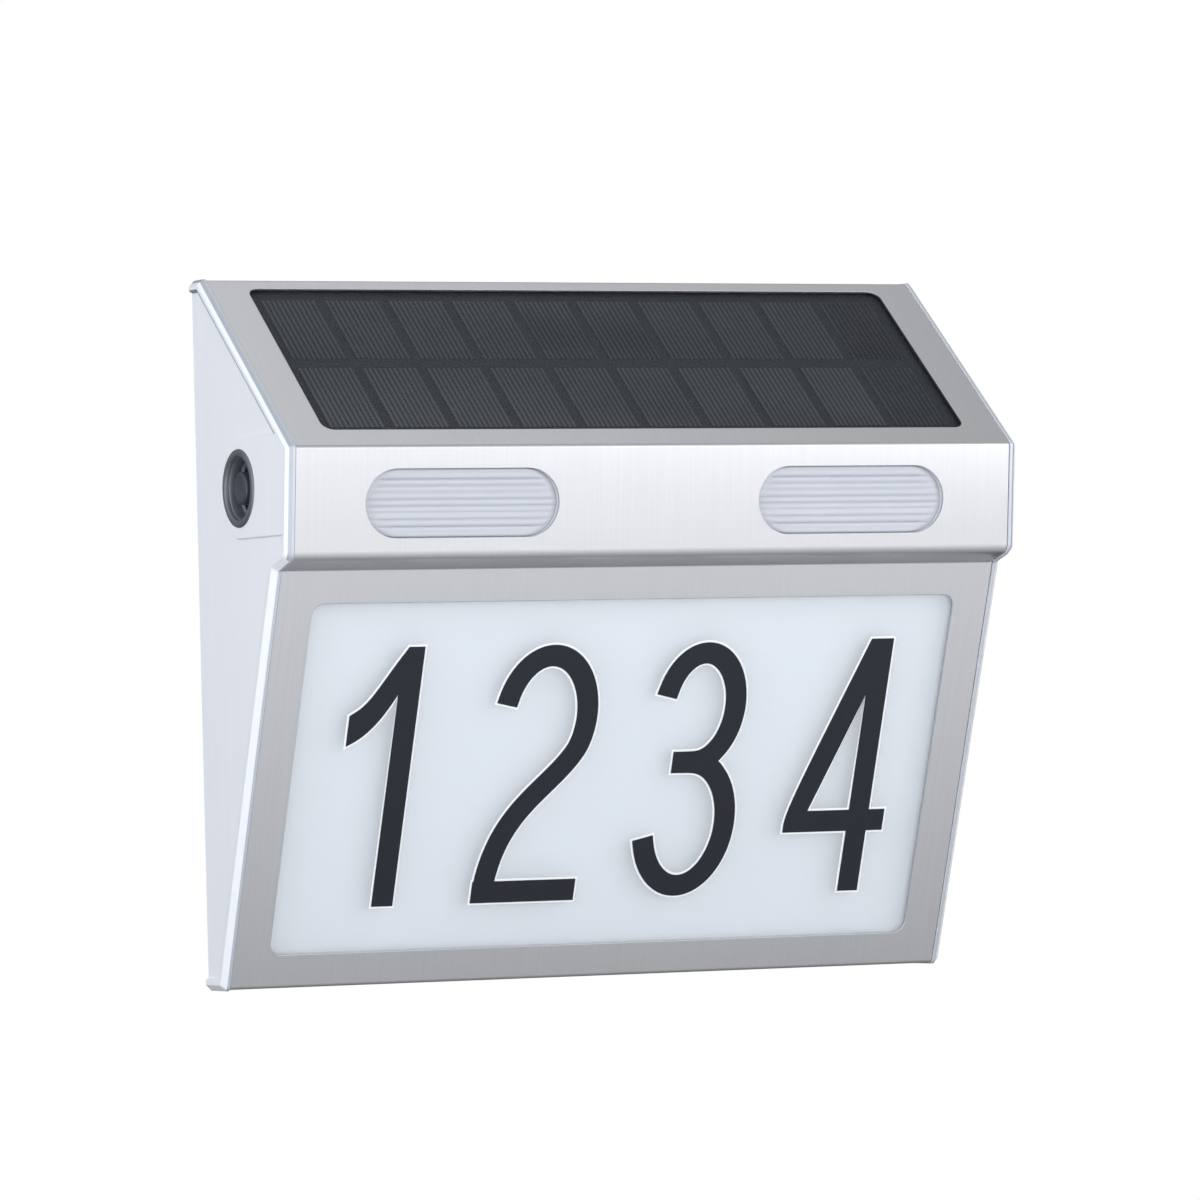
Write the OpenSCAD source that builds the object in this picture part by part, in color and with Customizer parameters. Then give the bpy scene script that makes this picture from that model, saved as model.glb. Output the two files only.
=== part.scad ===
// Wall lamp that lights a house number: a bent steel face between two moulded cheeks,
// a solar panel on the sloping top, two ribbed lamps in the visor below it, a lit number
// window under the visor and a push switch in the left cheek.
// The wall is the plane y = 0 and the front faces -y. z = 0 is the line of the two wall
// screws and x = 0 is half way between them.

/* [Body] */
// Width of the steel face between the cheeks
face_w = 200; // [186:1:240]
// Height of the face from its foot to its flat top
face_h = 179; // [174:1:192]
// Height of the flat top above the wall screws
top_up = 21; // [20:0.5:24]
// Distance of the visor's top edge from the wall
body_d = 60; // [57:1:68]
// Depth of the flat top beside the wall
top_d = 5.5; // [4:0.5:8]
// Drop of the visor's top edge below the flat top
visor_drop = 44.6; // [42:0.2:48]
// Height of the visor
visor_h = 27.8; // [27.6:0.1:30]
// How far the visor's lower edge is drawn back from its top edge
visor_lean = 2.8; // [1:0.2:4]
// How far the number window's face stands back from the visor's lower edge
step_in = 8; // [6:0.2:10]
// Drop of the step from the visor to the number window's face
step_h = 2.4; // [1:0.2:4]
// Distance of the number window's face from the wall at its foot
foot_d = 10; // [9:0.5:14]

/* [Steel face] */
// Thickness of the steel sheet
sheet_t = 0.8; // [0.5:0.1:1.2]
// Film of glue between the sheet and the housing
glue_gap = 0.15; // [0.05:0.05:0.3]
// Outside radius of the visor's lower bend
bend_r = 3; // [2:0.1:4]
// Outside radius of the other bends
crease_r = 1.2; // [1:0.1:2]
// Radius of the hollow bend above the number window
hollow_r = 0.8; // [0.4:0.1:1.5]
// Gap between the sheet's back edges and the wall
flange_gap = 1; // [0.5:0.1:2]

/* [Cheeks] */
// Gap between the sheet's side edge and the cheek
edge_gap = 0.2; // [0.1:0.05:0.4]
// Thickness of a cheek outside the sheet's edge
cheek_out = 2.2; // [2:0.1:3]
// Height of a cheek above the sheet
cheek_proud = 0.3; // [0.1:0.1:0.6]
// Chamfer round the cheek's outer edge
cheek_chamfer = 1.5; // [1:0.1:1.8]
// Width of the raised rim inside the chamfer
rim_w = 1.5; // [1:0.1:2.5]
// How far the rim falls across its width
rim_fall = 0.1; // [0.06:0.02:0.2]
// Depth of the cheek's main face below the rim's outer edge
cheek_sink = 0.8; // [0.4:0.1:1]
// Half height of the raised pad round the switch
pad_r = 12.7; // [11:0.1:14]

/* [Housing] */
// Wall thickness of the housing behind the sheet
wall_t = 2; // [1.8:0.1:2.4]
// Thickness of the side walls under the rim
side_t = 3.2; // [2.8:0.1:3.8]
// Radius of the screw posts
post_r = 3.2; // [3:0.1:3.3]
// Distance of the screw posts from the side walls
post_in = 3.4; // [3.4:0.1:3.6]
// Height of the lowest cover screws above the foot
post_foot_up = 10; // [9:0.5:14]
// Distance of the highest cover screws below the top
post_top_in = 11; // [10:0.5:13]

/* [Solar panel] */
// Side margin between the panel's opening and the sheet's edge
panel_side = 10; // [8:0.5:16]
// Margin above the panel's opening
panel_top = 3.4; // [3:0.1:6]
// Margin below the panel's opening
panel_foot = 6.9; // [5:0.1:10]
// Corner radius of the panel's opening
panel_r = 3; // [1:0.5:6]
// How far the panel reaches under the sheet
panel_lap = 1.5; // [1:0.1:1.8]
// Thickness of the panel's clear cover
glaze_t = 0.6; // [0.4:0.1:1]
// Thickness of the cells
cell_t = 0.25; // [0.15:0.05:0.4]
// Thickness of the panel's circuit board
panel_board_t = 1.2; // [0.8:0.1:1.6]
// Thickness of the foam pad under the panel
panel_pad_t = 0.5; // [0.3:0.1:1]
// Cells in a row
cell_columns = 10; // [6:1:14]
// Rows of cells
cell_rows = 2; // [1:1:3]
// Gap between cells in a row
cell_gap = 2.5; // [1:0.1:4]
// Gap between rows of cells
row_gap = 4.2; // [2:0.1:6]
// Margin of the cells inside the opening
cell_edge = 3; // [2:0.1:5]
// Radius of the hole for the panel's leads
panel_hole_r = 3; // [2.5:0.1:4]

/* [Lamps] */
// Distance of a lens's middle from the side edge of the steel
lens_side = 45.5; // [44:0.5:46.5]
// Length of a lens
lens_l = 53; // [46:1:54]
// Height of a lens
lens_h = 17.2; // [14:0.2:17.2]
// Distance of the lenses' middle below the visor's top edge
lens_mid = 14.3; // [14.3:0.1:14.9]
// Depth of the lens face below the steel
lens_sink = 1.2; // [1:0.1:1.6]
// Fit of the lens in its opening
lens_fit = 0.1; // [0.05:0.05:0.2]
// How far the lens flange reaches past the opening
lens_lap = 0.9; // [0.7:0.1:0.9]
// Thickness of the lens flange
lens_flange_t = 1.2; // [1:0.1:1.6]
// Number of ribs on a lens
rib_count = 9; // [5:1:12]
// Height of the ribs
rib_d = 0.8; // [0.4:0.1:1]
// Depth of the reflector cup
cup_h = 6; // [5:0.2:7]
// Wall thickness of the reflector cup
cup_t = 0.8; // [0.6:0.1:1]
// Length of a lamp board
lamp_board_l = 70; // [69:0.5:72]
// Width of a lamp board
lamp_board_w = 13; // [11:0.5:14]
// Thickness of the circuit boards of the lamps
lamp_board_t = 1.2; // [1:0.1:1.6]
// Light-emitting chips in a lamp
chip_count = 3; // [1:1:4]
// Distance between the chips of a lamp
chip_pitch = 15; // [12:0.5:16]
// Radius of the posts that carry the lamp boards
lamp_post_r = 2.6; // [2.2:0.1:2.8]

/* [Number window] */
// Side margin between the window and the sheet's edge
window_side = 9.6; // [9:0.2:14]
// Margin above the window
window_top = 8.9; // [8:0.1:11]
// Margin below the window
window_foot = 8.9; // [8:0.1:12]
// Corner radius of the window
window_r = 3.4; // [2:0.2:6]
// Thickness of the clear plate
plate_t = 2; // [1.5:0.1:2.4]
// Fit of the clear plate in its pocket
plate_fit = 0.15; // [0.1:0.05:0.3]
// How far the clear plate reaches under the sheet
plate_lap = 2; // [1.5:0.1:2.2]
// Thickness of the ledge between the plate and the diffuser
ledge_t = 2.6; // [2:0.1:2.8]
// Thickness of the diffuser
diffuser_t = 1.5; // [1:0.1:1.6]
// How far the diffuser reaches past the window
diffuser_lap = 1.2; // [0.8:0.1:1.4]
// Wall thickness of the light tray
tray_t = 1; // [0.8:0.1:1.2]
// Depth of the light tray's roof
tray_roof = 21; // [18:0.5:24]
// Drop of the light tray's upright back below its roof
tray_knee_drop = 43; // [36:1:50]
// Width of the light strip's board
strip_w = 10; // [8:0.5:12]
// Thickness of the light strip's board
strip_t = 1; // [0.8:0.1:1.2]
// Light-emitting chips on the strip
strip_count = 6; // [4:1:8]
// Distance of the outer chips from the strip's ends
strip_margin = 16.6; // [10:0.2:20]

/* [Numbers] */
// Margin above and below the numbers in the window
digit_margin = 12; // [10:0.5:20]
// Width of a number
digit_w = 29; // [24:0.5:30]
// Margin beside the outer numbers in the window
digit_side = 10.8; // [8:0.2:20]
// Width of the strokes
stroke_w = 5.8; // [4:0.2:6.4]
// Thickness of the numbers
digit_t = 0.3; // [0.1:0.05:0.5]

/* [Switch] */
// Distance of the switch's axis behind the visor's top edge
switch_back = 31; // [28:0.5:32]
// Drop of the switch's axis below the flat top
switch_drop = 53.6; // [53:0.2:55]
// Outer radius of the switch's ring
ring_r = 9.85; // [9.5:0.05:10.5]
// Height of the ring above the cheek
ring_proud = 0.5; // [0.3:0.1:0.8]
// Radius of the cup inside the ring
cup_r = 8.1; // [7.8:0.05:8.3]
// Depth of the cup below the ring
cup_d = 4.4; // [4:0.1:5]
// Radius of the threaded barrel
barrel_r = 8.9; // [8.8:0.05:9.1]
// Length of the switch's barrel with its ring
barrel_l = 12.5; // [12.5:0.1:14]
// Radius of the push cap
cap_r = 4.1; // [3.6:0.05:4.4]
// Depth of the cap's face below the ring
cap_sink = 0.7; // [0.4:0.1:1]
// Travel of the push cap
travel = 1.5; // [1:0.1:1.6]
// Running clearance round the cap and the plunger
run_gap = 0.05; // [0.02:0.01:0.1]

/* [Back] */
// Thickness of the back cover
back_t = 2.6; // [2.4:0.1:2.8]
// Thickness of the pressed gasket
gasket_t = 0.6; // [0.4:0.1:0.8]
// Width of the step that takes the cover's edge
rebate_w = 1.2; // [1.1:0.05:1.3]
// Fit of the cover in its step
back_fit = 0.15; // [0.1:0.05:0.2]
// Distance between the two wall screws
key_pitch = 120; // [118:1:124]
// Radius of a keyhole's entry for the screw head
key_head_r = 4.5; // [4.2:0.1:4.7]
// Radius of a keyhole's slot for the screw shank
key_slot_r = 2.2; // [2:0.1:2.4]
// Drop from the seated screw to the entry
key_drop = 8; // [7.5:0.1:8.4]
// Depth of the closed pocket behind a keyhole
key_pocket_d = 5.5; // [5:0.1:6]
// Wall thickness of the keyhole pockets
key_pocket_t = 1.4; // [1.2:0.1:1.5]

/* [Electronics] */
// Gap between the main board and the battery holder
board_apart = 21.8; // [18:0.2:26]
// Height of the main board
board_w = 35; // [33:0.5:35]
// Thickness of the main board
board_t = 1.6; // [1.2:0.1:2]
// Gap between the main board and the back cover
board_gap = 5.4; // [5:0.1:6]
// Drop of the main board's upper edge below the flat top
board_drop = 36.5; // [36.5:0.1:37]
// Distance of the main board from the left side wall
board_in = 13.2; // [12:0.2:14]
// Radius of the battery cell
battery_r = 9.15; // [9:0.05:9.3]
// Length of the battery cell
battery_l = 65; // [62:1:67]
// Drop of the battery's axis below the flat top
battery_drop = 48; // [47.5:0.5:49]
// Distance of the battery holder from the right side wall
holder_in = 16; // [14:0.5:18]
// Wall thickness of the battery holder
holder_t = 1.8; // [1.5:0.1:2]
// Gap round the battery in its holder
holder_fit = 0.15; // [0.1:0.05:0.3]
// Length of the contact spaces at the two ends of the battery
contact_l = 3.4; // [3:0.1:4]
// Radius of a lead with its sleeve
lead_r = 0.65; // [0.5:0.05:0.7]
// Distance between the two leads of a pair
lead_apart = 2; // [1.6:0.1:2.4]

/* [Hidden] */
$fn = 48;

// How far a cut runs past the face that it opens
overrun = 1;
// Least radius of a bend
least_r = 0.4;
// Steps along a lead, and sides of its tube
lead_steps = 12;
lead_sides = 8;

// Levels above the wall screws
top_z = top_up;
visor_top_z = top_z - visor_drop;
visor_foot_z = visor_top_z - visor_h;
step_z = visor_foot_z - step_h;
foot_z = top_z - face_h;

// The outline of the face, from the wall over the top and down to the wall again,
// in y and z
shell = [
    [0, top_z],
    [-top_d, top_z],
    [-body_d, visor_top_z],
    [visor_lean - body_d, visor_foot_z],
    [visor_lean + step_in - body_d, step_z],
    [-foot_d, foot_z],
    [0, foot_z]
];
slope_l = norm(shell[1] - shell[2]);
visor_l = norm(shell[2] - shell[3]);
lower_l = norm(shell[4] - shell[5]);

// Layers below the steel's outer face
core_in = sheet_t + glue_gap;
panel_stack = glaze_t + cell_t + panel_board_t + panel_pad_t;
wall_in = core_in + wall_t;
slope_in = core_in + panel_stack + wall_t;
pocket_in = core_in + plate_t + plate_fit;
lower_in = pocket_in + ledge_t;
cavity_in = [wall_in, slope_in, wall_in, wall_in, lower_in, wall_in, -overrun];

// Side to side: the housing ends at the cheeks' inner faces, and a tongue of each cheek
// reaches into it
core_x = face_w / 2 + edge_gap;
cheek_x = core_x + cheek_out;
// Thickness of a cheek inside its rim, and the shares of it that the rim's inner side runs
// into and that the flat field covers
field_t = cheek_out - cheek_sink;
rim_root_share = 0.5;
plate_share = 0.75;
cavity_x = cheek_x - side_t;
pad_x = cheek_x - rim_fall / 2;
tongue_fit = 0.1;

// Panel
panel_w = face_w - 2 * panel_side;
panel_l = slope_l - panel_top - panel_foot;
panel_mid = panel_top + panel_l / 2;
cell_w = (panel_w - 2 * cell_edge - (cell_columns - 1) * cell_gap) / cell_columns;
cell_l = (panel_l - 2 * cell_edge - (cell_rows - 1) * row_gap) / cell_rows;
panel_fit = 0.15;

// Lamps, from the visor's outer face inwards
lens_pitch = face_w - 2 * lens_side;
rib_gap = 0.4;
flange_in = wall_in + lens_flange_t;
reflector_in = flange_in + cup_h;
lamp_board_in = reflector_in + lamp_board_t;
chip_w = 3.5;
chip_h = 2.8;
chip_t = 0.7;
chip_hole_r = 2.6;
lamp_screw_x = lamp_board_l / 2 - lamp_post_r;
lamp_hole_r = 1.1;

// Small screws: shank, pilot hole, head and head height
small_r = 0.95;
small_pilot_r = 1;
small_head_r = 1.9;
small_head_t = 1.2;
small_l = 4;
small_slot_w = 0.6;

// Window
window_w = face_w - 2 * window_side;
window_l = lower_l - window_top - window_foot;
window_mid = window_top + window_l / 2;
diffuser_in = lower_in + diffuser_t;
diffuser_w = window_w + 2 * diffuser_lap;
diffuser_l = window_l + 2 * diffuser_lap;
tray_x = diffuser_w / 2;
tray_back_gap = 0.1;
strip_lead_r = 2.4;
strip_inset = 5;
strip_chip_w = 5;
strip_chip_t = 1;
strip_l = 2 * (tray_x - strip_inset);
strip_pitch = (strip_l - 2 * strip_margin) / (strip_count - 1);
digit_h = window_l - 2 * digit_margin;
digit_count = 4;
digit_pitch = (window_w - 2 * digit_side - digit_w) / (digit_count - 1);

// Switch: depths are counted inwards from the ring's outer face
switch_y = body_d - switch_back;
switch_z = top_z - switch_drop;
ring_x = -pad_x - ring_proud;
ring_chamfer = 0.3;
mouth_d = 1.2;
mouth_step = 0.5;
floor_t = 1.5;
bore_r = 7.4;
bore_fit = 0.1;
collar_in = cup_d + floor_t + 2 * run_gap;
collar_r = 5.6;
collar_t = 1.2;
cap_chamfer = 0.5;
stem_r = 1.6;
plug_l = 2.5;
plug_in = barrel_l - plug_l;
stem_past = 4;
stem_end = plug_in + stem_past;
stem_room = 0.5;
body_t = 6;
spring_t = 0.9;
spring_in_r = 2.2;
washer_r = 11.5;
washer_t = 1;
nut_r = 12;
nut_t = 3;
thread_gap = 0.08;
terminal_w = 2;
terminal_t = 0.6;
terminal_l = 3;
terminal_y = 3.5;

// Back
rebate_x = cavity_x + rebate_w;
rebate_lo = foot_z + wall_in - rebate_w;
rebate_hi = top_z - wall_in + rebate_w;
rebate_d = back_t + gasket_t;
gasket_gap = 0.1;
post_x = cavity_x - post_in;
post_lo = foot_z + post_foot_up;
post_hi = top_z - post_top_in;
post_zs = [post_lo, (post_lo + post_hi) / 2, post_hi];
cover_screw_r = 1.25;
cover_pilot_r = 1.3;
cover_hole_r = 1.5;
cover_head_r = 2.4;
cover_head_t = 1.4;
cover_sink_r = 2.7;
cover_sink_d = 1.5;
cover_screw_l = 7.5;
// Length of a screw's cross recess, as a share of its head
cross_share = 0.6;
pilot_room = 0.6;
key_head_room = 0.7;
key_pocket_x = key_head_r + key_head_room;
key_pocket_hi = 5;

// Main board
board_y = -(back_t + board_gap);
board_face_y = board_y - board_t;
board_z = top_z - board_drop - board_w / 2;
board_hole_in = 3.5;
standoff_r = 2.6;
standoff_foot = 0.6;
chip_case = [9, 7, 1.6];
coil_r = 4;
coil_t = 4.5;
can_r = 2.5;
can_t = 7;
socket = [6, 4.5, 5];
socket_gap = 0.6;

// Battery
holder_base_t = 2;
holder_l = battery_l + 2 * contact_l + 2 * holder_t;
holder_x = cavity_x - holder_in - holder_l / 2;
battery_y = -(back_t + holder_base_t + holder_fit + battery_r);
battery_z = top_z - battery_drop;
holder_wall_h = 12;
holder_half = battery_r + holder_fit + holder_t;
nub_r = 2.8;
nub_l = 1;
contact_t = 0.5;
contact_r = 6;
holder_screw_x = 18;

// Parts on the main board: places as shares of its length and height from its middle
board_l = 2 * cavity_x - board_in - board_apart - holder_l - holder_in;
board_x = board_l / 2 + board_in - cavity_x;
function on_share(share) = [share.x * board_l, share.y * board_w];
// The outer sockets keep clear of the screws' heads in the corners
outer_socket_x = board_l / 2 - board_hole_in - small_head_r - socket_gap - socket.x / 2;
function beside_screws(side, height_share) = [side * outer_socket_x, height_share * board_w];
switch_socket = beside_screws(-1, 0.34);
lamp_left_socket = on_share([-0.264, -0.37]);
strip_socket = on_share([-0.07, -0.37]);
lamp_right_socket = beside_screws(1, -0.37);
panel_socket = on_share([0.222, 0.37]);
battery_socket = beside_screws(1, 0.06);
sockets = [switch_socket, lamp_left_socket, strip_socket, lamp_right_socket, panel_socket,
           battery_socket];
chip_share = [-0.125, 0.07];
coil_share = [0.1, -0.1];
can_shares = [[-0.21, 0.33], [-0.04, 0.33]];
panel_lead_x = board_x + panel_socket.x;

// Outlines
function side(a, b) = (b - a) / norm(b - a);
function inward(a, b) = let (d = side(a, b)) [-d.y, d.x];
function cross2(a, b) = a.x * b.y - a.y * b.x;
function meet(a, u, b, v) = a + u * cross2(b - a, v) / cross2(u, v);

// The outline with each edge moved inwards by its own distance
function inset(pts, gaps) = let (n = len(pts)) [
    for (i = [0 : n - 1])
        let (p = pts[(i + n - 1) % n], q = pts[i], r = pts[(i + 1) % n])
        meet(q + inward(p, q) * gaps[(i + n - 1) % n], side(p, q),
             q + inward(q, r) * gaps[i], side(q, r))
];

// The corner q between p and r, as an arc of n steps
function fillet(p, q, r, rad, n) = rad == 0 ? [q] :
    let (u = side(q, p), w = side(q, r), half = acos(u * w) / 2,
         c = q + (u + w) / norm(u + w) * rad / sin(half),
         s = q + u * rad / tan(half) - c, e = q + w * rad / tan(half) - c,
         a = atan2(s.y, s.x), turn = (atan2(e.y, e.x) - a + 540) % 360 - 180)
    [for (i = [0 : n]) c + rad * [cos(a + turn * i / n), sin(a + turn * i / n)]];

// Steps in each bend of the face's outline
bend_steps = [0, 3, 3, 6, 3, 3, 0];
function rounded(pts, radii) = let (n = len(pts)) [
    for (i = [0 : n - 1])
        each fillet(pts[(i + n - 1) % n], pts[i], pts[(i + 1) % n], radii[i], bend_steps[i])
];

// The face's outline at a depth below the steel's outer side, and at the wall by its own
// distance
function skin(d, wall = 0) = rounded(
    inset(shell, [d, d, d, d, d, d, wall]),
    [0, max(crease_r - d, least_r), max(crease_r - d, least_r), max(bend_r - d, least_r),
     hollow_r + d, max(crease_r - d, least_r), 0]);
// The housing's outline under the steel
core = rounded(inset(shell, [core_in, core_in, core_in, core_in, core_in, core_in, 0]),
               [0, 0, 0, bend_r - core_in, 0, 0, 0]);

// A closed skin over rings of points that all have as many points
module skinned(rings) {
    n = len(rings[0]);
    last = len(rings) - 1;
    polyhedron(
        points = [for (ring = rings) each ring],
        faces = concat(
            [[for (i = [0 : n - 1]) i]],
            [[for (i = [n - 1 : -1 : 0]) last * n + i]],
            [for (k = [0 : last - 1], i = [0 : n - 1])
                [k * n + i, (k + 1) * n + i, (k + 1) * n + (i + 1) % n]],
            [for (k = [0 : last - 1], i = [0 : n - 1])
                [k * n + i, (k + 1) * n + (i + 1) % n, k * n + (i + 1) % n]]),
        convexity = 6);
}

// A prism along x, centred on x = 0, from an outline in y and z
module along_x(half, pts) {
    rotate([90, 0, 90])
        translate([0, 0, -half])
        linear_extrude(2 * half)
        polygon(pts);
}

// Places children on a flat face of the outline between its corners i and i + 1:
// x to the right, y up the face, z outwards, origin down the face from its top edge
module on_face(i, down) {
    u = side(shell[i + 1], shell[i]);
    translate([0, shell[i].x, shell[i].y])
        rotate([atan2(u.y, u.x), 0, 0])
        translate([0, -down, 0])
        children();
}

// A flat layer that starts at a depth below the face and reaches down to another
module layer(from, to) {
    translate([0, 0, -to])
        linear_extrude(to - from)
        children();
}

module round_rect(w, l, r) {
    square([w - 2 * r, l], center = true);
    square([w, l - 2 * r], center = true);
    for (x = [-1, 1], y = [-1, 1])
        translate([x * (w / 2 - r), y * (l / 2 - r)])
            circle(r);
}

module obround(l, h) {
    square([l - h, h], center = true);
    for (x = [-1, 1])
        translate([x * (l - h) / 2, 0])
            circle(d = h);
}

// Places children with their z towards the front
module facing_front(x, y, z) {
    translate([x, y, z])
        rotate([90, 0, 0])
        children();
}

// A cheek: its rim as rings of the face's outline, each with its place in x, its depth and how
// far it runs on behind the wall, where it is cut off, and then the flat field inside the rim
module cheek() {
    brow = cheek_chamfer - cheek_proud;
    difference() {
        skinned([
            for (ring = [[core_x, -cheek_proud, 2 * overrun],
                         [cheek_x - cheek_chamfer, -cheek_proud, 2 * overrun],
                         [cheek_x, brow, 2 * overrun],
                         [cheek_x - rim_fall, brow + rim_w, overrun],
                         [core_x + field_t * rim_root_share, brow + rim_w, overrun]])
                [for (p = skin(ring[1], -ring[2])) [ring[0], p.x, p.y]]
        ]);
        translate([core_x - overrun, 0, foot_z - overrun])
            cube([cheek_out + 2 * overrun, 3 * overrun, face_h + 2 * overrun]);
    }
    translate([core_x + field_t * (1 - plate_share), 0, 0])
        rotate([90, 0, 90])
        linear_extrude(field_t * plate_share)
        polygon(skin(brow + rim_w / 2));
}

// The raised pad round the switch, which runs forward into the left cheek's rim
module switch_pad() {
    intersection() {
        translate([-pad_x, -switch_y, switch_z])
            rotate([0, 90, 0]) {
                cylinder(r = pad_r, h = cheek_sink);
                translate([-pad_r, -body_d, 0])
                    cube([2 * pad_r, body_d, cheek_sink]);
            }
        along_x(cheek_x, skin(cheek_chamfer - cheek_proud + rim_w / 3));
    }
}

// The tongue that the cheek pushes into the housing's end, up to the wall before the
// cover's step is cut
module tongue() {
    edges = [for (i = [0 : len(cavity_in) - 2]) cavity_in[i] + tongue_fit];
    translate([cavity_x, 0, 0])
        rotate([90, 0, 90])
        linear_extrude(core_x - cavity_x + cheek_out / 2)
        polygon(inset(shell, concat(edges, [0])));
}

// The step all round the back that takes the cover
module cover_step() {
    translate([-rebate_x, -rebate_d, rebate_lo])
        cube([2 * rebate_x, rebate_d + overrun, rebate_hi - rebate_lo]);
}

module cheek_right() {
    color("#eef1f6")
        difference() {
            union() {
                cheek();
                tongue();
            }
            cover_step();
        }
}

module cheek_left() {
    color("#eef1f6")
        difference() {
            union() {
                mirror([1, 0, 0]) {
                    cheek();
                    tongue();
                }
                switch_pad();
            }
            cover_step();
            translate([-cheek_x - overrun, -switch_y, switch_z])
                rotate([0, 90, 0])
                cylinder(r = barrel_r + bore_fit, h = side_t + 2 * overrun);
        }
}

// Housing
module cover_post(z) {
    for (x = [-1, 1])
        facing_front(x * post_x, 0, z)
            cylinder(r = post_r, h = body_d);
}

module lamp_post() {
    for (lamp = [-1, 1], x = [-1, 1])
        on_face(2, lens_mid)
            translate([lamp * lens_pitch / 2 + x * lamp_screw_x, 0, -reflector_in])
            cylinder(r = lamp_post_r, h = reflector_in - wall_in + wall_t / 2);
}

module housing_shell() {
    difference() {
        along_x(core_x, core);
        along_x(core_x + overrun, inset(shell, cavity_in));
    }
    intersection() {
        union() {
            for (z = post_zs)
                cover_post(z);
        }
        along_x(core_x, inset(shell, [for (gap = cavity_in) gap < 0 ? 0 : wall_in - wall_t / 2]));
    }
    lamp_post();
}

module housing_cuts() {
    cover_step();
    // Pocket and lead hole of the panel
    on_face(1, panel_mid) {
        layer(-overrun, core_in + panel_stack)
            round_rect(panel_w + 2 * (panel_lap + panel_fit),
                       panel_l + 2 * (panel_lap + panel_fit), panel_r);
        translate([panel_lead_x, 0, 0])
            layer(core_in, slope_in + overrun)
            circle(panel_hole_r);
    }
    // Lens openings and the screw holes of the lamp boards
    for (lamp = [-1, 1])
        on_face(2, lens_mid)
            translate([lamp * lens_pitch / 2, 0, 0]) {
                layer(-overrun, wall_in + overrun)
                    obround(lens_l, lens_h);
                for (x = [-1, 1])
                    translate([x * lamp_screw_x, 0, -reflector_in - overrun])
                        cylinder(r = small_pilot_r, h = small_l + overrun);
            }
    // Pocket of the clear plate and the light opening
    on_face(4, window_mid) {
        layer(-overrun, pocket_in)
            round_rect(window_w + 2 * (plate_lap + plate_fit),
                       window_l + 2 * (plate_lap + plate_fit), window_r);
        layer(core_in, lower_in + overrun)
            round_rect(window_w, window_l, window_r);
    }
    // Pilot holes of the cover screws
    for (x = [-1, 1], z = post_zs)
        facing_front(x * post_x, 0, z)
            cylinder(r = cover_pilot_r, h = cover_sink_d + cover_screw_l + pilot_room);
}

module housing() {
    color("#eef1f6")
        difference() {
            housing_shell();
            housing_cuts();
        }
}

// Steel face
module face_sheet() {
    color("#c4c5c8")
        difference() {
            along_x(face_w / 2, skin(0));
            along_x(face_w / 2 + overrun, skin(sheet_t, -overrun));
            translate([-face_w / 2 - overrun, -flange_gap, foot_z - overrun])
                cube([face_w + 2 * overrun, flange_gap + overrun, face_h + 2 * overrun]);
            on_face(1, panel_mid)
                layer(-overrun, sheet_t + overrun)
                round_rect(panel_w, panel_l, panel_r);
            for (lamp = [-1, 1])
                on_face(2, lens_mid)
                    translate([lamp * lens_pitch / 2, 0, 0])
                    layer(-overrun, sheet_t + overrun)
                    obround(lens_l, lens_h);
            on_face(4, window_mid)
                layer(-overrun, sheet_t + overrun)
                round_rect(window_w, window_l, window_r);
        }
}

// Solar panel
module panel_layer(from, to) {
    on_face(1, panel_mid)
        layer(from, to)
        round_rect(panel_w + 2 * panel_lap, panel_l + 2 * panel_lap, panel_r);
}

module solar_glaze() {
    color("#40444a", 0.5)
        panel_layer(core_in, core_in + glaze_t);
}

module solar_cells() {
    color("#2d3136")
        on_face(1, panel_mid)
        for (i = [0 : cell_columns - 1], j = [0 : cell_rows - 1])
            translate([(i - (cell_columns - 1) / 2) * (cell_w + cell_gap),
                       (j - (cell_rows - 1) / 2) * (cell_l + row_gap), 0])
                layer(core_in + glaze_t, core_in + glaze_t + cell_t)
                square([cell_w, cell_l], center = true);
}

module solar_board() {
    color("#202428")
        difference() {
            panel_layer(core_in + glaze_t + cell_t, core_in + panel_stack - panel_pad_t);
            for (x = [-1, 1])
                on_face(1, panel_mid)
                    translate([panel_lead_x + x * lead_apart / 2, 0, 0])
                    layer(core_in + panel_stack - panel_pad_t - panel_board_t / 2, slope_in)
                    circle(lead_r + run_gap);
        }
}

module solar_pad() {
    color("#3a3a3c")
        difference() {
            panel_layer(core_in + panel_stack - panel_pad_t, core_in + panel_stack);
            on_face(1, panel_mid)
                translate([panel_lead_x, 0, 0])
                layer(0, slope_in)
                circle(panel_hole_r);
        }
}

// Lamps
module lamp_frame(lamp) {
    on_face(2, lens_mid)
        translate([lamp * lens_pitch / 2, 0, 0])
        children();
}

module lens(lamp) {
    plug_h = lens_h - 2 * lens_fit;
    plug_l = lens_l - 2 * lens_fit;
    field_h = plug_h - 2 * cup_t;
    rib_pitch = field_h / rib_count;
    color("#e4e9f2", 0.6)
        lamp_frame(lamp) {
            layer(lens_sink, wall_in)
                obround(plug_l, plug_h);
            layer(wall_in, flange_in)
                obround(lens_l + 2 * lens_lap, lens_h + 2 * lens_lap);
            for (i = [0 : rib_count - 1]) {
                y = (i - (rib_count - 1) / 2) * rib_pitch;
                reach = (plug_l - plug_h) / 2
                    + sqrt(pow(field_h / 2, 2) - pow(abs(y) + (rib_pitch - rib_gap) / 2, 2));
                rotate([90, 0, 90])
                    translate([0, 0, -reach])
                    linear_extrude(2 * reach)
                    polygon([[y - (rib_pitch - rib_gap) / 2, -flange_in],
                             [y, -flange_in - rib_d],
                             [y + (rib_pitch - rib_gap) / 2, -flange_in]]);
            }
        }
}

module lens_left() {
    lens(-1);
}

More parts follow.
